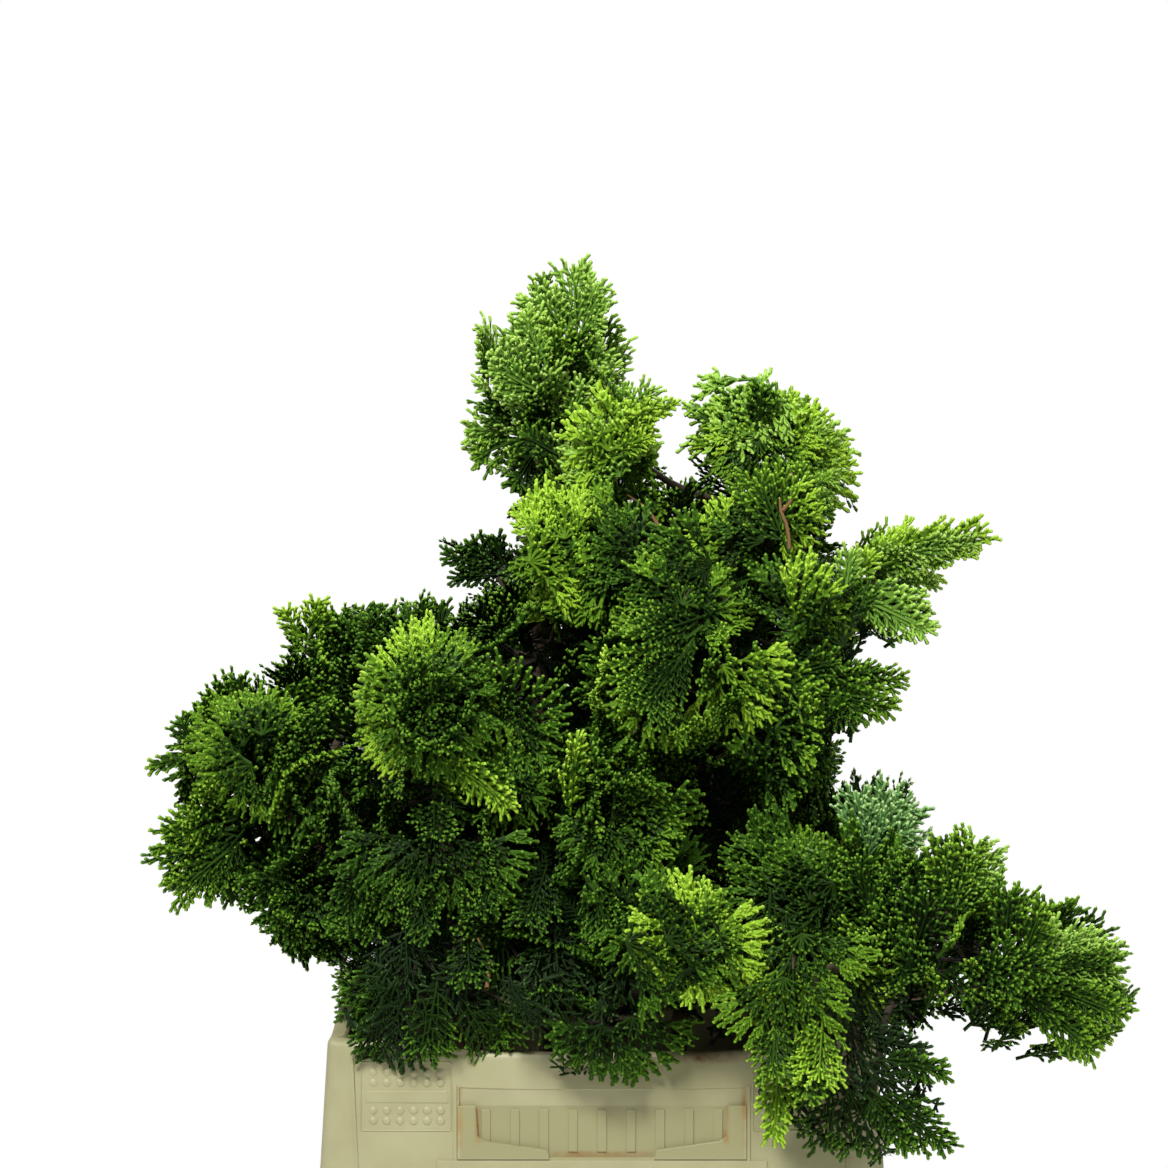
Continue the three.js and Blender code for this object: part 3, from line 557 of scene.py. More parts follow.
SIZES = (18, 24, 31, 39, 48, 60)
VARIANTS = 3
RANKS = (0.36, 0.68, 1.0)  # how far towards the rim each rank of forking ribs reaches
LAST_RIB = 0.92  # share of a middle rib at which the last side ribs spring
RIM = 0.62  # share of a fan outside which its twiglets have the outer colours
JITTER = 0.15  # how far twiglets turn at random, in radians


def strip(line, half_width):
    """A flat leafy ribbon along a rib, widest at its middle."""
    along = unit(np.gradient(line, axis=0))
    share = np.linspace(0, 1, len(line))
    widths = half_width * (0.5 + 2.0 * share * (1.2 - share))
    across = unit(np.cross(along, UP)) * widths[:, None]
    count = len(line)
    faces = [(k, k + 1, k + 1 + count) for k in range(count - 1)]
    faces += [(k, k + 1 + count, k + count) for k in range(count - 1)]
    return np.concatenate([line - across, line + across]), np.array(faces)


def buds(starts, ends, radii, fine):
    """Blunt twiglets, thickest near their tips: nine triangles each, or six where they aren't
    fine. The last three of them are the tip."""
    along = unit(ends - starts)
    across = unit(np.cross(along, UP))
    over = np.cross(across, along)
    points = [] if fine else [starts]
    for share, girth in ((0.0, 0.75), (0.78, 1.0)) if fine else ((0.6, 1.05),):
        middle = starts + (ends - starts) * share
        for angle in (0.0, 2.094, 4.189):
            offset = across * math.sin(angle) + over * math.cos(angle) * 0.8
            points.append(middle + offset * (radii * girth)[:, None])
    points.append(ends)
    faces = [(0, 1, 4), (0, 4, 3), (1, 2, 5), (1, 5, 4), (2, 0, 3), (2, 3, 5),
             (3, 4, 6), (4, 5, 6), (5, 3, 6)]
    if not fine:
        faces = [(0, 1, 2), (0, 2, 3), (0, 3, 1), (1, 4, 2), (2, 4, 3), (3, 4, 1)]
    offsets = np.arange(len(starts))[:, None, None] * len(points)
    return np.stack(points, axis=1).reshape(-1, 3), (np.array(faces)[None] + offsets).reshape(-1, 3)


def forked_ribs(size, habit, random):
    """Ribs that spread from one point and fork twice: the two ends, bend and rank of each."""
    parents = [(0.0, np.zeros(2))]
    ribs = []
    spread = habit["spread"]
    lobes = random.between(3.5, 5.5)
    phase = random.between(*ANY_PHASE)
    for rank, far in enumerate(RANKS):
        count = max(3, round(2 * spread * size * far * 0.85 / habit["rib_gap"]))
        children = []
        for k in range(count):
            turn = ((k + random.between(0.25, 0.75)) / count * 2 - 1) * spread
            reach = size * far * (1 + 0.07 * math.sin(lobes * turn + phase))
            if spread < math.pi:
                reach *= 1 - 0.14 * (turn / spread) ** 2
            reach *= random.between(0.93, 1.03)
            tip = reach * np.array([math.sin(turn), math.cos(turn)])
            parent = min(parents, key=lambda p: abs(p[0] - turn))
            ribs.append((parent[1], tip, 0.0, rank))
            children.append((turn, tip))
        parents = children
    return ribs


def pinnate_ribs(size, habit, random):
    """A middle rib with others springing from it on both sides by turns."""
    ribs = [(np.zeros(2), np.array([0.0, size]), 0.0, 0)]
    count = round(size * (LAST_RIB - habit["first"]) / (habit["rib_gap"] / 2))
    for k in range(count):
        share = habit["first"] + (LAST_RIB - habit["first"]) * (k + 0.5) / count
        side = 1 if k % 2 else -1
        length = size * habit["width"] * (0.32 + math.sin(math.pi * (0.12 + 0.80 * share))
                                          * (1 - 0.45 * share)) * random.between(0.7, 1.15)
        heading = side * (0.80 - 0.35 * share) + random.between(-0.12, 0.12)
        start = np.array([0.0, size * share])
        tip = start + length * np.array([math.sin(heading), math.cos(heading)])
        ribs.append((start, tip, -side * habit["bow"] * length, 1))
    return ribs


def bent(flat, size, habit, wave):
    """Carries points (across, along, lift) from the flat fan onto its curled, cupped form."""
    across, along, lift = flat.T
    radius = np.hypot(across, along) / size
    angle = np.arctan2(across, along + 1e-6)
    if habit["curl"] == 0.0:
        rise = size * habit["bowl"] * (1.5 * radius ** 2 - 0.5 * radius ** 4)
        rise += size * 0.05 * radius * np.sin(3.0 * angle + wave)
        return np.stack([across, along, lift + rise], axis=1)
    lift = lift + size * habit["bowl"] * radius ** 2 * (0.6 + 0.4 * np.abs(angle))
    lift = lift + size * 0.05 * radius * np.sin(4.0 * angle + wave)
    turn = habit["curl"] * along / size
    reach = size / habit["curl"]
    return np.stack([across, (reach - lift) * np.sin(turn),
                     reach - (reach - lift) * np.cos(turn)], axis=1)


def stops_along(length, number, rank, habit):
    """How far along a rib its twiglets stand."""
    pinnate = "first" in habit
    if pinnate:
        first = 0.75 if number == 0 else 0.15
    else:
        first = 0.45 if rank == 0 else 0.12
    stops = [*np.arange(length * first, length - 1.5, habit["gap"])]
    return [*stops, length] if pinnate or rank == 2 else stops


def fan(kind, size, variant, fine):
    """One fan, rooted at the origin, growing along Y and cupped towards Z."""
    habit = KINDS[kind]
    random = Stream(size * 131 + variant * 977 + len(kind))
    size = size - habit["twiglet"] * 0.75
    pinnate = "first" in habit
    ribs = (pinnate_ribs if pinnate else forked_ribs)(size, habit, random)
    wave = random.between(*ANY_PHASE)
    heap = Heap()
    starts, ends, girths, rims = [], [], [], []
    for number, (root, tip, bow, rank) in enumerate(ribs):
        length = np.linalg.norm(tip - root)
        heading = math.atan2(*(tip - root))
        across = np.array([math.cos(heading), -math.sin(heading)])
        line = np.array([root, (root + tip) / 2 - across * bow, tip])
        solid = bent(np.column_stack([line, np.zeros(3)]), size, habit, wave)
        if rank == 0:
            rib = tube(solid, np.array([0.95, 0.855, 0.76]) * habit["radius"], 3)
        else:
            rib = strip(solid, habit["radius"] * habit["leafy"])
        heap.add(*rib, OUTER if rank == 2 else INNER_SHADED)
        for step, at in enumerate(stops_along(length, number, rank, habit)):
            share = at / length
            place = root * (1 - share) + tip * share - across * bow * 2 * share * (1 - share)
            far = min(np.hypot(*place) / size, 1.0)
            side = 0 if at == length else 1 if (step + number) % 2 else -1
            angle = heading + side * (habit["splay"] + random.between(-JITTER, JITTER))
            lift = habit["lifts"][0] * (1 - far) + habit["lifts"][1] * far
            lift += (0.22 if step % 2 else -0.16) + random.between(-JITTER, JITTER)
            long = habit["twiglet"] * random.between(0.8, 1.12)
            if pinnate:
                long *= 1.1 - 0.3 * share
            run = np.array([math.sin(angle) * math.cos(lift), math.cos(angle) * math.cos(lift),
                            math.sin(lift)]) * long
            starts.append([*place, 0.0])
            ends.append(np.array([*place, 0.0]) + run)
            girths.append(habit["radius"] * random.between(0.88, 1.12))
            rims.append(share * 0.35 + far * 0.65 if pinnate else far)
    starts = bent(np.array(starts), size, habit, wave)
    ends = bent(np.array(ends), size, habit, wave)
    points, faces = buds(starts, ends, np.array(girths), fine)
    tones = np.empty((len(starts), 9 if fine else 6), int)
    outer = np.array(rims) > RIM
    tones[:, :-3] = np.where(outer, OUTER, INNER_SHADED)[:, None]
    tones[:, -3:] = np.where(outer, TIP, OUTER)[:, None]
    heap.add(points, faces, tones.ravel())
    return heap.arrays()


fans = {(kind, size, variant, fine): fan(kind, size, variant, fine)
        for kind in KINDS for size in SIZES for variant in range(VARIANTS)
        for fine in (True, False)}


def place_fan(heap, kind, root, axis, side, length, tone, random, fine):
    """Adds a fan of the nearest size, scaled to its exact length."""
    size = min(SIZES, key=lambda s: abs(math.log(s / length)))
    points, faces, parts = fans[kind, size, int(random() * VARIANTS) % VARIANTS, fine]
    mirror = 1 if random() < 0.5 else -1
    rows = np.stack([side * mirror, axis, np.cross(side, axis)])
    placed = root + (points * length / size) @ rows
    heap.add(placed, faces if mirror > 0 else faces[:, ::-1], parts + 3 * TONE_ORDER.index(tone))


# ---------------------------------------------------------------- the crown's surface

BACK = 50  # the depth from which on masses belong to the back
CLEAR_BESIDE, CLEAR_ABOVE = 3, 9  # how far foliage keeps from the container's side and height
INSET = 4  # how far within its reach a mass has its surface
OVERLAP = 1.06  # how far a mass still has sprays where another one is nearer
RAY = np.linspace(0.5, 1.7, 60)  # where the surface is looked for, in reaches from the centre
DEPTHS = np.arange(-280.0, 250.0, 3.0)  # where the crown's front is looked for

PLACES = MASSES + BETWEEN
CENTRES = np.array([place[1] for place in PLACES])
REACHES = np.array([place[2] for place in PLACES]) - INSET
# How sharply masses end: those behind and the foliage between run into each other more.
MERGES = np.where((CENTRES[:, 1] > BACK) | (np.arange(len(PLACES)) >= len(MASSES)), 1.0, 1.6)


def inside_pot(points):
    """Whether points lie in the container or closer to its rim than foliage does."""
    side = POT["flare"] + CLEAR_BESIDE
    return ((np.abs(points[..., 0]) < POT["rim_x"] + side)
            & (np.abs(points[..., 1]) < POT["rim_y"] + side)
            & (points[..., 2] < POT["height"] + CLEAR_ABOVE))


def seen_at(points):
    """Where points are seen from the front: across and up, at the middle of the plant."""
    scale = 1 + points[..., 1] / SIGHT[2]
    across = SIGHT[0] + (points[..., 0] - SIGHT[0]) / scale
    return across, SIGHT[1] + (points[..., 2] + LEAN * points[..., 1] - SIGHT[1]) / scale


def on_sight(across, seen, depth):
    """The points at some depths along Y that are seen at one place."""
    depth = np.asarray(depth, float)
    scale = 1 + depth / SIGHT[2]
    return np.stack([SIGHT[0] + (across - SIGHT[0]) * scale, depth,
                     SIGHT[1] + (seen - SIGHT[1]) * scale - LEAN * depth], axis=-1)


def shares(points):
    """How far points are from each mass, in its own reaches, and how much it counts there."""
    offsets = (points[..., None, :] - CENTRES) / REACHES
    return offsets, np.exp(MERGES * (1 - (offsets ** 2).sum(-1)))


def fullness(points):
    """How deep points lie in the crown: 1 on the outline of a mass that stands alone, and less
    where the sky shows."""
    full = shares(points)[1].sum(-1)
    seen_across, seen_height = seen_at(points)
    for across, height, radius in SKY:
        off = ((seen_across - across) ** 2 + (seen_height - height) ** 2) / radius ** 2
        full = full - SKY_DEPTH * np.exp(-off ** 2)
    return full


def in_the_sky(points):
    """Whether any of the points is seen where the sky shows through the crown."""
    seen_across, seen_height = seen_at(points)
    return any((np.hypot(seen_across - across, seen_height - height) < radius * 0.8).any()
               for across, height, radius in SKY)


def outward(point):
    """The crown's outward direction at a point on its surface."""
    offsets, weights = shares(point)
    return unit((weights[..., None] * offsets / REACHES).sum(-2))


def nearest(point, axes=(0, 1, 2)):
    """The mass that a point is nearest to, in its own reaches along some axes."""
    offsets = (np.asarray(point) - CENTRES[:, axes]) / REACHES[:, axes]
    return int(np.argmin((offsets ** 2).sum(-1)))


def front_of(across, seen):
    """The point of the crown that is seen from the front at a place, or None."""
    line = on_sight(across, seen, DEPTHS)
    full = fullness(line) > 1
    return line[full.argmax()] if full.any() else None


def mass_area(reach, power=1.6):
    """The area of an ellipsoid, nearly."""
    a, b, c = reach
    mean = ((a * b) ** power + (a * c) ** power + (b * c) ** power) / 3
    return 4 * math.pi * mean ** (1 / power)


def surface_of(order, apart):
    """Points spread evenly over the part of the crown's surface that belongs to one mass."""
    centre, reach = CENTRES[order], REACHES[order]
    count = round(mass_area(reach) / apart ** 2)
    k = np.arange(count)
    height = 1 - 2 * (k + 0.5) / count
    angle = k * GOLDEN + order
    flat = np.sqrt(1 - height ** 2)
    ways = np.column_stack([flat * np.cos(angle), flat * np.sin(angle), height])
    line = centre + (ways * reach)[:, None] * RAY[None, :, None]
    empty = fullness(line) < 1
    points = line[k, empty.argmax(axis=1)]
    depth = (((points[:, None] - CENTRES) / REACHES) ** 2).sum(-1)
    own = depth[:, order] <= depth.min(axis=1) * OVERLAP
    return points[empty.any(axis=1) & own]


# ---------------------------------------------------------------- sprays

LOOSEST = 0.66  # fullness of the crown that the tip and shoulders of a spray still reach
SHORTEST = 14  # length under which a spray is left out
LENGTHS = (0.8, 1.2)  # shortest and longest spray of a habit, as shares of its length
UNEVEN = (-3, 3)  # how far the sprays' tips stand in or out of the surface
SPIN = 0.25  # how far a spray's axis strays
HOLLOW = 9  # how deep the middle of a cup lies
SET_BACK = 2.0  # how far behind the crown's front a spray that stands out has its root
TIP_OUT = 10  # how far before the crown's front its tip is
FALLS = (-0.5, 0.35)  # how far its tip may be before and behind its root, as shares of its length
ROOM = 0.225  # how near to its middle no other spray stands, as a share of its length
SPRAY_TWIG = (1.6, 1.2, 0.8)  # radii of the twig that carries a spray


def clear_length(root, axis, side, length):
    """The length that keeps a spray out of the container, or 0."""
    while length > SHORTEST:
        points = [axis * length, axis * length * 0.6]
        points += [axis * length * 0.7 + side * length * s for s in (-0.5, 0.5)]
        if not inside_pot(root + np.array(points)).any():
            return length
        length *= 0.88
    return 0


def fitted_length(tip, axis, side, length):
    """The length at which a spray that ends at a point keeps near the crown and out of the
    container and the sky, or 0."""
    while length > SHORTEST:
        points = [axis * 0, axis * -0.4, axis * -0.3 + side * 0.42, axis * -0.3 - side * 0.42,
                  axis * -0.1 + side * 0.25, axis * -0.1 - side * 0.25]
        points = tip + np.array(points) * length
        lobes = tip + np.array([axis * -0.75 + side * 0.75, axis * -0.75 - side * 0.75]) * length
        blocked = inside_pot(points).any() or in_the_sky(points) or in_the_sky(lobes)
        if not blocked and fullness(points).min() > LOOSEST:
            return length
        length *= 0.86
    return 0


def sprays_of(order):
    """A mass's sprays: kind, root, axis, side, length, and the way that the surface faces there."""
    habit_name, opening = PLACES[order][3:5]
    habit = HABITS[habit_name]
    opening = unit(opening)
    crest = CENTRES[order] + opening * REACHES[order] * 0.8
    random = Stream(1000 + order * 77)
    found = []
    for point in surface_of(order, habit["apart"]):
        out = outward(point)
        facing = float(out @ opening)
        towards = out
        if habit_name == "cup":
            around = unit(out - opening * facing + UP * 0.01)
            axis = out + around * habit["lie"]
            point = point - out * HOLLOW * max(0.0, facing) ** 2
            towards = opening
        elif habit_name == "shell":
            away = point - crest
            away = away - out * (away @ out)
            axis = unit(away + UP * 4) * habit["lie"] + out
        else:
            lean = opening - out * facing
            axis = unit(lean + 0.2 * UP) * habit["lie"] + out * 0.6
        spin = np.array([random.between(-1, 1) for _ in range(3)]) * SPIN
        axis = unit(axis + spin + UP * habit["rise"])
        side = turned(unit(np.cross(axis, towards)), axis, random.between(-1, 1) * habit["roll"])
        length = habit["length"] * random.between(*LENGTHS)
        tip = point + out * random.between(*UNEVEN)
        length = fitted_length(tip, axis, side, length)
        if length:
            found.append((habit["kind"], tip - axis * length * 0.97, axis, side, length, out))
    return found


def shown_sprays():
    """The sprays that stand out on the front: kind, root, axis, side, length, tone and mass."""
    found = []
    rows = [row for text in SHOWN_SPRAYS.values() for row in table(text)]
    for across, seen, angle, length, roll, kind, tone in rows:
        angle = math.radians(angle)
        run = np.array([math.sin(angle), math.cos(angle)]) * length
        front = front_of(across, seen)
        if front is None:
            depth = CENTRES[nearest((across, seen), (0, 2))][1]
        else:
            depth = front[1] + SET_BACK
        root = on_sight(across, seen, depth)
        tip = front_of(*(np.array([across, seen]) + run * 0.9))
        fall = 0.0 if tip is None else tip[1] - TIP_OUT - depth
        fall = min(max(fall, FALLS[0] * length), FALLS[1] * length)
        run = on_sight(across + run[0], seen + run[1], depth + fall) - root
        axis = unit(run)
        side = unit(np.cross(axis, FRONT))
        if kind == "bowl":
            side = np.array([1.0, 0.0, 0.0])
            axis = unit(np.cross(FRONT, side))
            root = root + np.array([0, 10.0, 0])
        side = turned(side, axis, math.radians(roll))
        length = clear_length(root, axis, side, length)
        if length:
            found.append((kind, root, axis, side, length, tone, nearest(root + run * 0.5)))
    return found


def tone_with_painted_light(base, out, facing, habit, random):
    """A spray's tone: its mass's own, a step lighter at a rim as painted light, and a step darker
    inside a cup and underneath as painted shade.
    """
    chance = random()
    # painted shade: light sprays turn green underneath
    if base == "light":
        return "green" if out[2] < -0.4 and chance > 0.4 else "fresh" if chance > 0.7 else base
    if base not in PAINTED_LIGHT_LADDER:
        return base
    step = PAINTED_LIGHT_LADDER.index(base)
    # painted shade inside a cup, painted light at a rim, painted shade underneath
    if habit == "cup" and facing > 0.8:
        step -= 1
    elif 0.1 < facing < 0.65 and chance < 0.3:
        step += 1
    if (out[2] < -0.25 and chance > 0.3) or chance > 0.68:
        step -= 1
    return PAINTED_LIGHT_LADDER[min(max(step, 0), len(PAINTED_LIGHT_LADDER) - 1)]


# Shade inside the crown: how far apart, pairs of teeth, the fullnesses between which it stands, and
# the depth along Y behind which it does.
SHADES = ((18, 6, 1.9, 60, -400), (14, 5, 1.5, 60, 30), (11.5, 4, 1.3, 1.9, -400))
SHADE_TOP = 595  # above this height the shade is green instead of nearly black
SHADE_IN = 1.15  # fullness of the crown that all of a shade's corners have


def inner_shade(apart, teeth, low, high, behind):
    """Dark sprays of few faces inside the crown."""
    random = Stream(9000)
    first, last = CENTRES.min(axis=0) - 60, CENTRES.max(axis=0) + 60
    axes = [np.arange(a, b, apart) for a, b in zip(first, last)]
    places = np.stack(np.meshgrid(*axes, indexing="ij"), axis=-1).reshape(-1, 3)
    full = fullness(places)
    for place in places[(full > low) & (full < high) & (places[:, 1] > behind)]:
        root = place + np.array([random.between(-0.5, 0.5) for _ in range(3)]) * apart
        axis = unit([random.between(-1, 1) for _ in range(3)])
        side = turned(unit(np.cross(axis, (0.3, 0.2, 0.9))), axis, random.between(0, 3.14))
        points = [root - side * apart * 0.05, root + side * apart * 0.05, root + axis * apart]
        for share in np.linspace(0.08, 0.8, teeth):
            for hand in (-1, 1):
                base = root + axis * apart * share
                points += [base, base + axis * apart * 0.1,
                           base + (axis * 0.34 + side * hand * 0.62 * (1.1 - share)) * apart]
        points = np.array(points)
        if not inside_pot(points).any() and fullness(points).min() > SHADE_IN:
            tone = 3 * TONE_ORDER.index("fresh") if place[2] > SHADE_TOP else SHADE
            heap = heaps[PLACES[nearest(root)][7]]
            heap.add(points, np.arange(len(points)).reshape(-1, 3), tone)


def spring_point(centre, habit, limb):
    """Where on its limb a mass's stem springs: where it runs shortest and rises."""
    path = limb_paths[limb]
    first = 0.5 if limb.startswith("bough") else 0.3
    points = path[int(first * len(path)):]
    runs = centre - points
    lengths = np.linalg.norm(runs, axis=1)
    fall = 0 if habit == "droop" else np.maximum(0, 0.35 * lengths - runs[:, 2])
    return points[np.argmin(lengths + 1.2 * fall)]


def mass_stem(centre, habit, limb):
    """The arched stem that joins a mass to its limb."""
    spring = spring_point(centre, habit, limb)
    bend = (spring + centre) / 2 + UP * np.linalg.norm(centre - spring) * HABITS[habit]["arch"]
    path = smooth_path([spring, bend, centre], 8)
    return tube(path, np.linspace(TWIG_RADIUS, TWIG_RADIUS * 0.6, 9), 6)


limb_paths = {}
for name, (_, _, path, *joint) in LIMBS.items():
    if joint:
        stem = limb_paths[joint[0]]
        path = [stem[round(joint[1] * (len(stem) - 1))], *path]
    limb_paths[name] = smooth_path(path, 110)

heaps = {mass[7]: Heap() for mass in MASSES}
twigs = Heap()
stand_out = shown_sprays()
random = Stream(77)
for kind, root, axis, side, length, tone, near in stand_out:
    place_fan(heaps[PLACES[near][7]], kind, root, axis, side, length, tone, random, True)

# A mass's own sprays make room on the front for those that stand out.
middles = np.array([root + axis * length * 0.6 for _, root, axis, _, length, _, _ in stand_out])
rooms = np.array([length * ROOM for _, _, _, _, length, _, _ in stand_out])
for order, (_, _, _, habit, opening, limb, tone, piece) in enumerate(PLACES):
    centre = CENTRES[order]
    random = Stream(5000 + order * 31)
    fine = limb is not None and centre[1] < BACK
    for kind, root, axis, side, length, out in sprays_of(order):
        taken = np.linalg.norm(root + axis * length * 0.7 - middles, axis=1) < rooms
        if taken.any() and out[1] < 0.2:
            continue
        # the spray's tone carries painted light at rims and painted shade inside cups and underneath
        own = tone_with_painted_light(tone, out, float(out @ unit(opening)), habit, random)
        place_fan(heaps[piece], kind, root, axis, side, length, own, random, fine)
        line = np.array([centre, root, root + axis * length * 0.3])
        if fullness(line).min() > 1.1:
            twigs.add(*tube(line, SPRAY_TWIG, 3), WOOD)
    if limb is not None:
        twigs.add(*mass_stem(centre, habit, limb), WOOD)
for course in DRY_TWIGS:
    line = [on_sight(across, seen, front_of(across, seen)[1] - 4) for across, seen in course]
    twigs.add(*tube(smooth_path(line, 6), np.linspace(1.2, 0.6, 7), 6), DRY)
for shade in SHADES:
    inner_shade(*shade)

materials = foliage_materials()
for piece, heap in heaps.items():
    made = heap.make(f"foliage_{piece}", materials)
    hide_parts(*(m[0] for m in MASSES if m[7] == piece))
made = twigs.make("twigs", materials)


# ---------------------------------------------------------------- stems and boughs

def limb_relief(path, radii, sides, seed):
    """A limb with long fibres, low swellings and a slight waist here and there in its bark."""
    points, faces = tube(path, radii, sides)
    rings = len(path)
    random = Stream(seed)
    angle = np.tile(np.arange(sides) * 2 * math.pi / sides, rings)
    run = np.repeat(np.arange(rings) * 3.0, sides)
    centre = np.repeat(path, sides, axis=0)
    relief = np.zeros(len(points))
    for _ in range(7):
        count = 2 + int(random() * 7)
        relief += 0.035 * np.sin(count * angle + run * random.between(0.01, 0.05)
                                 + random.between(*ANY_PHASE))
    for _ in range(4):
        relief += 0.03 * np.sin(run * random.between(0.02, 0.09) + random.between(*ANY_PHASE))
    return centre + (points - centre) * (1 + relief)[:, None], faces


limbs = Heap()
for number, (name, (foot, tip, *_)) in enumerate(LIMBS.items()):
    radii = np.linspace(foot, tip, len(limb_paths[name])) * 0.97
    points, faces = limb_relief(limb_paths[name], radii, 12, 40 + number)
    points[:, 2] = np.maximum(points[:, 2], FLOOR)
    limbs.add(points, faces)
made = limbs.make("bark_of_stems", [bark_material()])
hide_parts(*LIMBS)

# ---------------------------------------------------------------- container

EDGE = 0.3  # half the width of a step in the relief
BODY_IN = 6  # how far the body stands in from the rim at the top
# How far under the rim the skirt has its rings.
DOWNS = [84.5, 76 + EDGE, 76 - EDGE, 66, 58, 55 + EDGE, 55 - EDGE, 48, 40, 34, 28.5, 24,
         19 + EDGE, 19 - EDGE, 14 + EDGE, 14 - EDGE, 9, 4.5, 3]
SINK = -0.4  # how far the feet of raised parts are sunk into the face


def box(left, top, right, bottom):
    """The outline of a rectangle, down its left side first."""
    return [(left, top), (left, bottom), (right, bottom), (right, top)]


# Raised parts of the left half of a short side, which the right half mirrors: their outline, across
# and down from the rim, and how far foot and top stand out of the face. First the lip under the
# label, the post beside it, the bare strip between the dots and the slanting edge at the corner,
# and then the four edges of the panel with the dots.
TRIM = [
    ([(-76.2, 27.5), (-76.2, 55.6), (-27.5, 55.6), (-28.5, 50.8), (-62, 46), (-65.5, 43.5),
      (-66.5, 27.5)], SINK - LABEL["depth"], 1.0),
    (box(-78.2, 16.5, -76.4, 57), SINK, 0.8),
    (box(-124.5, 19.5, -81, 26), SINK, 0.5),
    ([(-132.5, 2), (-128.5, 85), (-127.1, 85), (-131.1, 2)], SINK, 0.8),
    (box(-127.4, 5, -126.5, 40), SINK, 0.6),
    (box(-80, 5, -79.1, 40), SINK, 0.6),
    (box(-126.5, 40, -80, 40.9), SINK, 0.6),
    (box(-126.5, 4.1, -80, 5), SINK, 0.6),
]
LEDGE = ([(-87, 56.2), (-89, 85), (89, 85), (87, 56.2)], SINK, 1.0)


def label_relief(across, down):
    """How far the short sides stand in at the recess for the label."""
    if not LABEL["top"] < down < LABEL["bottom"]:
        return np.zeros(len(across))
    slope = 0.3 + 0.7 * min((down - LABEL["top"]) / LABEL["plain"], 1)
    return np.where(np.abs(across) < LABEL["width"] / 2, -LABEL["depth"] * slope, 0.0)


def side_relief(along, down):
    """The long sides: shallow panels with upright bars between them."""
    pitch, half = BARS["pitch"], BARS["width"] / 2
    near = np.abs((along + pitch / 2) % pitch - pitch / 2)
    inside = (near > half) & (np.abs(along) < 2.5 * pitch) & (BARS["top"] < down < BARS["bottom"])
    return np.where(inside, -BARS["depth"], 0.0)


def pot_stations():
    """Where a ring of the container has its points: the side or corner and how far along it."""
    label = LABEL["width"] / 2
    bars = [BARS["pitch"] * k + side * BARS["width"] / 2 for k in range(-2, 3) for side in (-1, 1)]
    bars += [-2.5 * BARS["pitch"], 2.5 * BARS["pitch"]]
    stations = []
    for quarter in range(4):
        stations += [("corner", quarter, k / 10) for k in range(11)]
        half = (POT["rim_x"], POT["rim_y"])[quarter % 2] - POT["radius"]
        places = [half * (1 - k / 13) for k in range(1, 26)]
        places += [edge + step for edge in (bars if quarter % 2 else (-label, label))
                   for step in (-EDGE, EDGE)]
        stations += [("side", quarter, place / half) for place in sorted(places, reverse=True)]
    return stations


def pot_ring(stations, half_x, half_y, z, radius, rise, down=None):
    """One ring of the container; with `down`, its relief at that distance under the rim."""
    straight = (half_x - radius, half_y - radius)
    kinds, quarter, share = (np.array(column) for column in zip(*stations))
    corner = kinds == "corner"
    sign_x = np.array([1, -1, -1, 1])[quarter]
    sign_y = np.array([1, 1, -1, -1])[quarter]
    angle = (quarter + share) * math.pi / 2
    round_x = sign_x * straight[0] + radius * np.cos(angle)
    round_y = sign_y * straight[1] + radius * np.sin(angle)
    along_x = quarter % 2 == 0
    rim = np.where(along_x, POT["rim_x"], POT["rim_y"]) - POT["radius"]
    widening = np.where(along_x, *straight) - rim
    across = np.where(along_x, sign_y, -sign_x) * share * (rim + widening * np.abs(share) ** 6)
    lift = np.zeros(len(stations))
    if down is not None:
        lift = np.where(along_x, label_relief(across, down), side_relief(across, down))
    side_x = np.where(along_x, across, sign_x * (half_x + lift))
    side_y = np.where(along_x, sign_y * (half_y + lift), across)
    height = z + np.where(corner, rise, rise * np.abs(share) ** 3)
    return np.column_stack([np.where(corner, round_x, side_x), np.where(corner, round_y, side_y),
                            height])


def pot_rings():
    """The container's rings from the foot up the outside, over the rim and down the inside."""
    stations = pot_stations()
    height, radius, wall, rise = POT["height"], POT["radius"], POT["wall"], POT["corner_rise"]
    rim = np.array([POT["rim_x"], POT["rim_y"]], float)
    foot = np.array([POT["foot_x"], POT["foot_y"]], float)
    hem = height - POT["skirt"]

    def body(z):
        return foot + (rim - BODY_IN - foot) * z / height

    rings = [(foot - 3, 0, radius - 6, 0), (foot - 1, 1, radius - 5, 0), (foot, 4, radius - 5, 0)]
    rings += [(body(z), z, radius - 4, 0) for z in (60, 120, 180, 230)]
    rings += [(body(height), height - wall, radius - 2, rise),
              (rim - wall, height - wall, radius, rise),
              (rim + POT["flare"] - wall, hem + 1, radius, 0),
              (rim + POT["flare"] - wall + 1, hem, radius, 0),
              (rim + POT["flare"] - 0.6, hem + 0.2, radius, 0)]
    for down in DOWNS:
        share = down / POT["skirt"]
        rings.append((rim + POT["flare"] * share, height - down, radius, rise * (1 - share), down))
    edge = [(rim - 0.3, 1.6), (rim - 1.0, 0.6), (rim - 2.2, 0), (body(height) - wall + 1.2, 0),
            (body(height) - wall, 1.2)]
    rings += [(half, height - down, radius - 1, rise) for half, down in edge]
    rings += [(body(z) - wall, z, radius - 6, 0) for z in (240, 120, wall + 6)]
    rings.append((body(wall) - wall - 4, wall, radius - 8, 0))
    return [pot_ring(stations, *half, *others) for half, *others in rings]


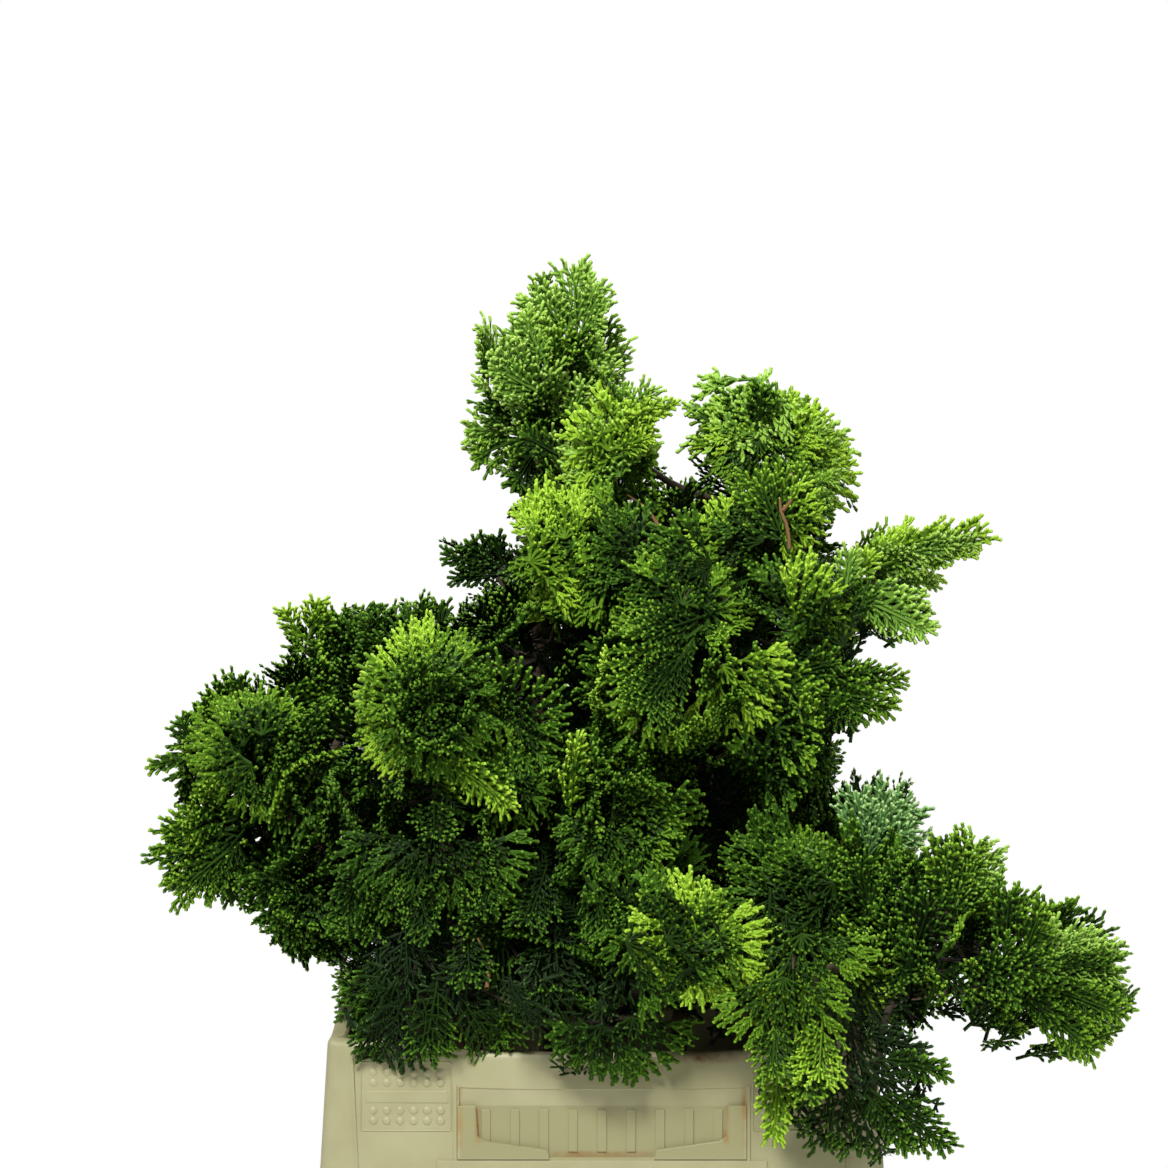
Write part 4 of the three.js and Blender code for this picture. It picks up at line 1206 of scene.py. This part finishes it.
def container_piece():
    """The container with its dots and raised parts, in one piece."""
    rings = pot_rings()
    count = len(rings[0])
    points = np.concatenate([*rings, [(0, 0, 0)], [(0, 0, POT["wall"])]])
    turn = np.arange(count)
    after = (turn + 1) % count
    last = (len(rings) - 1) * count
    under = np.column_stack([after, turn, np.full(count, len(points) - 2)])
    inside = np.column_stack([last + turn, last + after, np.full(count, len(points) - 1)])
    heap = Heap()
    heap.add(points, np.concatenate([tube_faces(len(rings), count), under, inside]))
    for place in dot_places():
        heap.add(*dot(*place))
    for end in (-1, 1):
        for part in trim():
            heap.add(*raised(*part, end))
    made = heap.make("cream_container", [cream_plastic()])
    made.data.set_sharp_from_angle(angle=math.radians(36))
    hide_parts("container")


def dot_places():
    """The raised dots beside the label: columns across and rows under the rim, on both ends."""
    return [(end, side * (DOTS["first"] + k * DOTS["pitch"]), down)
            for end in (-1, 1) for side in (-1, 1)
            for k in range(DOTS["columns"]) for down in DOTS["rows"]]


def dot(end, across, down, rings=4, sides=14):
    """A low dome on the sloping face."""
    face = POT["rim_y"] + POT["flare"] / POT["skirt"] * down
    out = np.array([0.0, end, 0.0])
    middle = np.array([across, end * (face - 0.3), POT["height"] - down])
    points = []
    for r in range(rings):
        tilt = r / rings * math.pi / 2
        for k in range(sides):
            angle = 2 * math.pi * k / sides * end
            points.append(middle + DOTS["radius"] * math.cos(tilt)
                          * np.array([-math.cos(angle), 0, math.sin(angle)])
                          + out * DOTS["height"] * math.sin(tilt))
    points.append(middle + out * DOTS["height"])
    top = (rings - 1) * sides
    cap = [(top + k, top + (k + 1) % sides, rings * sides) for k in range(sides)]
    return np.array(points), np.concatenate([tube_faces(rings, sides), cap])


def trim():
    """All the raised parts of a short side: the ribs in the label's recess, and TRIM and LEDGE."""
    top, bottom = LABEL["top"] + LABEL["plain"] + 1, LABEL["bottom"] - 3
    parts = []
    for k in range(LABEL["ribs"]):
        middle = (k - (LABEL["ribs"] - 1) / 2) * LABEL["pitch"]
        low, high = middle - LABEL["rib_width"] / 2, middle + LABEL["rib_width"] / 2
        parts.append((box(low, top, high, bottom), SINK - LABEL["depth"], 0.7 - LABEL["depth"]))
    for outline, low, high in TRIM:
        mirrored = [(-across, down) for across, down in reversed(outline)]
        parts += [(outline, low, high), (mirrored, low, high)]
    return [*parts, LEDGE]


def raised(outline, low, high, end):
    """Points and triangles of a raised part with sloping edges."""
    flat = np.array(outline, float)
    edges = np.roll(flat, -1, axis=0) - flat
    normals = unit(np.column_stack([-edges[:, 1], edges[:, 0]]))
    before = np.roll(normals, 1, axis=0)
    outwards = (normals + before) / (1 + (normals * before).sum(axis=1, keepdims=True))
    loops = []
    for shrink, out in ((0.0, low), (0.0, high - 0.3), (0.35, high)):
        across, down = (flat - outwards * shrink).T
        face = POT["rim_y"] + POT["flare"] * down / POT["skirt"] + out
        loops.append(np.column_stack([-end * across, end * face, POT["height"] - down]))
    cap = tessellate_polygon([[Vector((a, -d, 0)) for a, d in flat]])
    faces = np.concatenate([tube_faces(3, len(flat)), np.array(cap) + 2 * len(flat)])
    return np.concatenate(loops), faces


# Stains on the container, and in the first row painted shade on the floor of the label's recess,
# in metres: whether they lie the same on both sides, where across and how high, each with its
# edge's softness, whether they are patchy, and their colour.
STAINS_AND_RECESS_SHADE = [
    # painted shade: the floor of the label's recess, a little darker than the plastic
    (True, (-1.0, 0.0748, 0.0004), (0.290, 0.3175, 0.0005), False, (0.245, 0.234, 0.114)),
    (True, (0.0735, 0.0765, 0.0010), (0.296, 0.327, 0.003), True, (0.27, 0.17, 0.055)),
    (True, (0.0640, 0.0670, 0.001), (0.298, 0.317, 0.002), True, (0.24, 0.145, 0.045)),
    (True, (-1.0, 0.0265, 0.001), (0.2905, 0.2935, 0.001), True, (0.22, 0.120, 0.035)),
    (False, (0.036, 0.078, 0.008), (0.3405, 0.4, 0.0015), True, (0.12, 0.060, 0.020)),
]


def product(material, *values):
    """All the values multiplied."""
    result = values[0]
    for value in values[1:]:
        result = node(material, "ShaderNodeMath", [(result, 0), (value, 1)],
                      operation="MULTIPLY").outputs["Value"]
    return result


def window(material, value, low, high, soft):
    """1 where a value lies between two edges and 0 outside them."""
    return product(material, *(ranged(material, value, *edges, interpolation_type="SMOOTHSTEP")
                               for edges in ((low - soft, low + soft), (high + soft, high - soft))))


def cream_plastic():
    """Waxy cream plastic, mottled with grime, stained brown in the corners of its recess, with painted
    shade on the recess floor.
    """
    material, principled = shader("cream_plastic", roughness=0.46)
    place = object_place(material)
    fine = noise(material, place, 70, 5, 0.7)
    colour = ramp(material, noise(material, place, 18, 5, 0.6), (0.30, (0.255, 0.240, 0.118)),
                  (0.72, (0.330, 0.314, 0.175)))
    split = node(material, "ShaderNodeSeparateXYZ", [(place, "Vector")])
    across, height = split.outputs["X"], split.outputs["Z"]
    away = node(material, "ShaderNodeMath", [(across, 0)], operation="ABSOLUTE").outputs["Value"]
    grime = ranged(material, fine, 0.35, 0.65)
    # the first row lays painted shade on the recess floor, the others lay stains
    for alike, wide, high, patchy, stain_and_shade in STAINS_AND_RECESS_SHADE:
        masks = [window(material, away if alike else across, *wide),
                 window(material, height, *high), *([grime] if patchy else [])]
        colour = laid_over(material, product(material, *masks), colour, stain_and_shade)
    return finished(material, principled, colour, fine, 0.12, 0.0006)


container_piece()

# ---------------------------------------------------------------- floor, backdrop, light, camera

# The camera: its focal length as a share of the picture's width, how wide its sensor is, how far
# it looks down, how far away it is, and what it looks at.
FOCAL = 8397 / 1168
SENSOR = 36
PITCH = math.radians(4.1)
DISTANCE = 4.6
TARGET = Vector((-0.0095, 0, 0.579))


def glowing(material, fade=None):
    """Makes a material shine white, or only as far as a share says."""
    tree = material.node_tree
    surface = node(material, "ShaderNodeEmission").outputs["Emission"]
    if fade is not None:
        plain = tree.nodes["Principled BSDF"].outputs["BSDF"]
        surface = node(material, "ShaderNodeMixShader",
                       [(fade, 0), (plain, 1), (surface, 2)]).outputs["Shader"]
    tree.links.new(surface, tree.nodes["Material Output"].inputs["Surface"])
    return material


def floor():
    """A pale round floor that fades into the white backdrop."""
    bpy.ops.mesh.primitive_circle_add(vertices=96, radius=1.5, fill_type="NGON", location=(0, 0, 0))
    made = bpy.context.object
    made.name = "floor"
    material = shader("floor_pale", (0.86, 0.86, 0.85), 0.7)[0]
    radius = node(material, "ShaderNodeVectorMath", [(object_place(material), 0)],
                  operation="LENGTH")
    fade = ranged(material, radius.outputs["Value"], 0.45, 1.4, interpolation_type="SMOOTHSTEP")
    made.data.materials.append(glowing(material, fade))


def backdrop():
    """A white dome that gives no light, so that the light comes from the lamps and sky."""
    bpy.ops.mesh.primitive_uv_sphere_add(segments=48, ring_count=24, radius=14, location=(0, 0, 0.5))
    made = bpy.context.object
    made.name = "backdrop"
    made.data.materials.append(glowing(shader("backdrop_white")[0]))
    for ray in ("diffuse", "glossy", "transmission", "shadow", "volume_scatter"):
        setattr(made, f"visible_{ray}", False)


def lamp(name, place, size, power, target=(0, 0, 0.5)):
    """A soft square lamp that points at the middle of the plant."""
    data = bpy.data.lights.new(name, "AREA")
    data.size = size
    data.energy = power
    made = bpy.data.objects.new(name, data)
    made.location = place
    made.rotation_euler = (Vector(target) - Vector(place)).to_track_quat("-Z", "Y").to_euler()
    bpy.context.scene.collection.objects.link(made)


def camera():
    """The view from the front."""
    data = bpy.data.cameras.new("camera")
    data.sensor_width = SENSOR
    data.lens = SENSOR * FOCAL
    data.clip_end = 60
    made = bpy.data.objects.new("camera", data)
    made.location = TARGET + Vector((0, -math.cos(PITCH), math.sin(PITCH))) * DISTANCE
    made.rotation_euler = (TARGET - made.location).to_track_quat("-Z", "Y").to_euler()
    bpy.context.scene.collection.objects.link(made)
    bpy.context.scene.camera = made


floor()
backdrop()
lamp("key", (-0.8, -2.3, 3.0), 0.9, 180)
lamp("fill", (2.6, -2.2, 1.2), 1.6, 26)
lamp("top", (0.2, 0.6, 2.8), 1.4, 50)
lamp("back", (0.6, 3.0, 1.8), 1.6, 100)
lamp("side", (-2.9, 0.9, 1.5), 1.6, 32)
camera()
world = bpy.data.worlds.new("studio")
world.use_nodes = True
sky_light = world.node_tree.nodes["Background"].inputs
sky_light["Color"].default_value = (1, 1, 1, 1)
sky_light["Strength"].default_value = 0.12
bpy.context.scene.world = world
bpy.context.scene.view_settings.view_transform = "Standard"
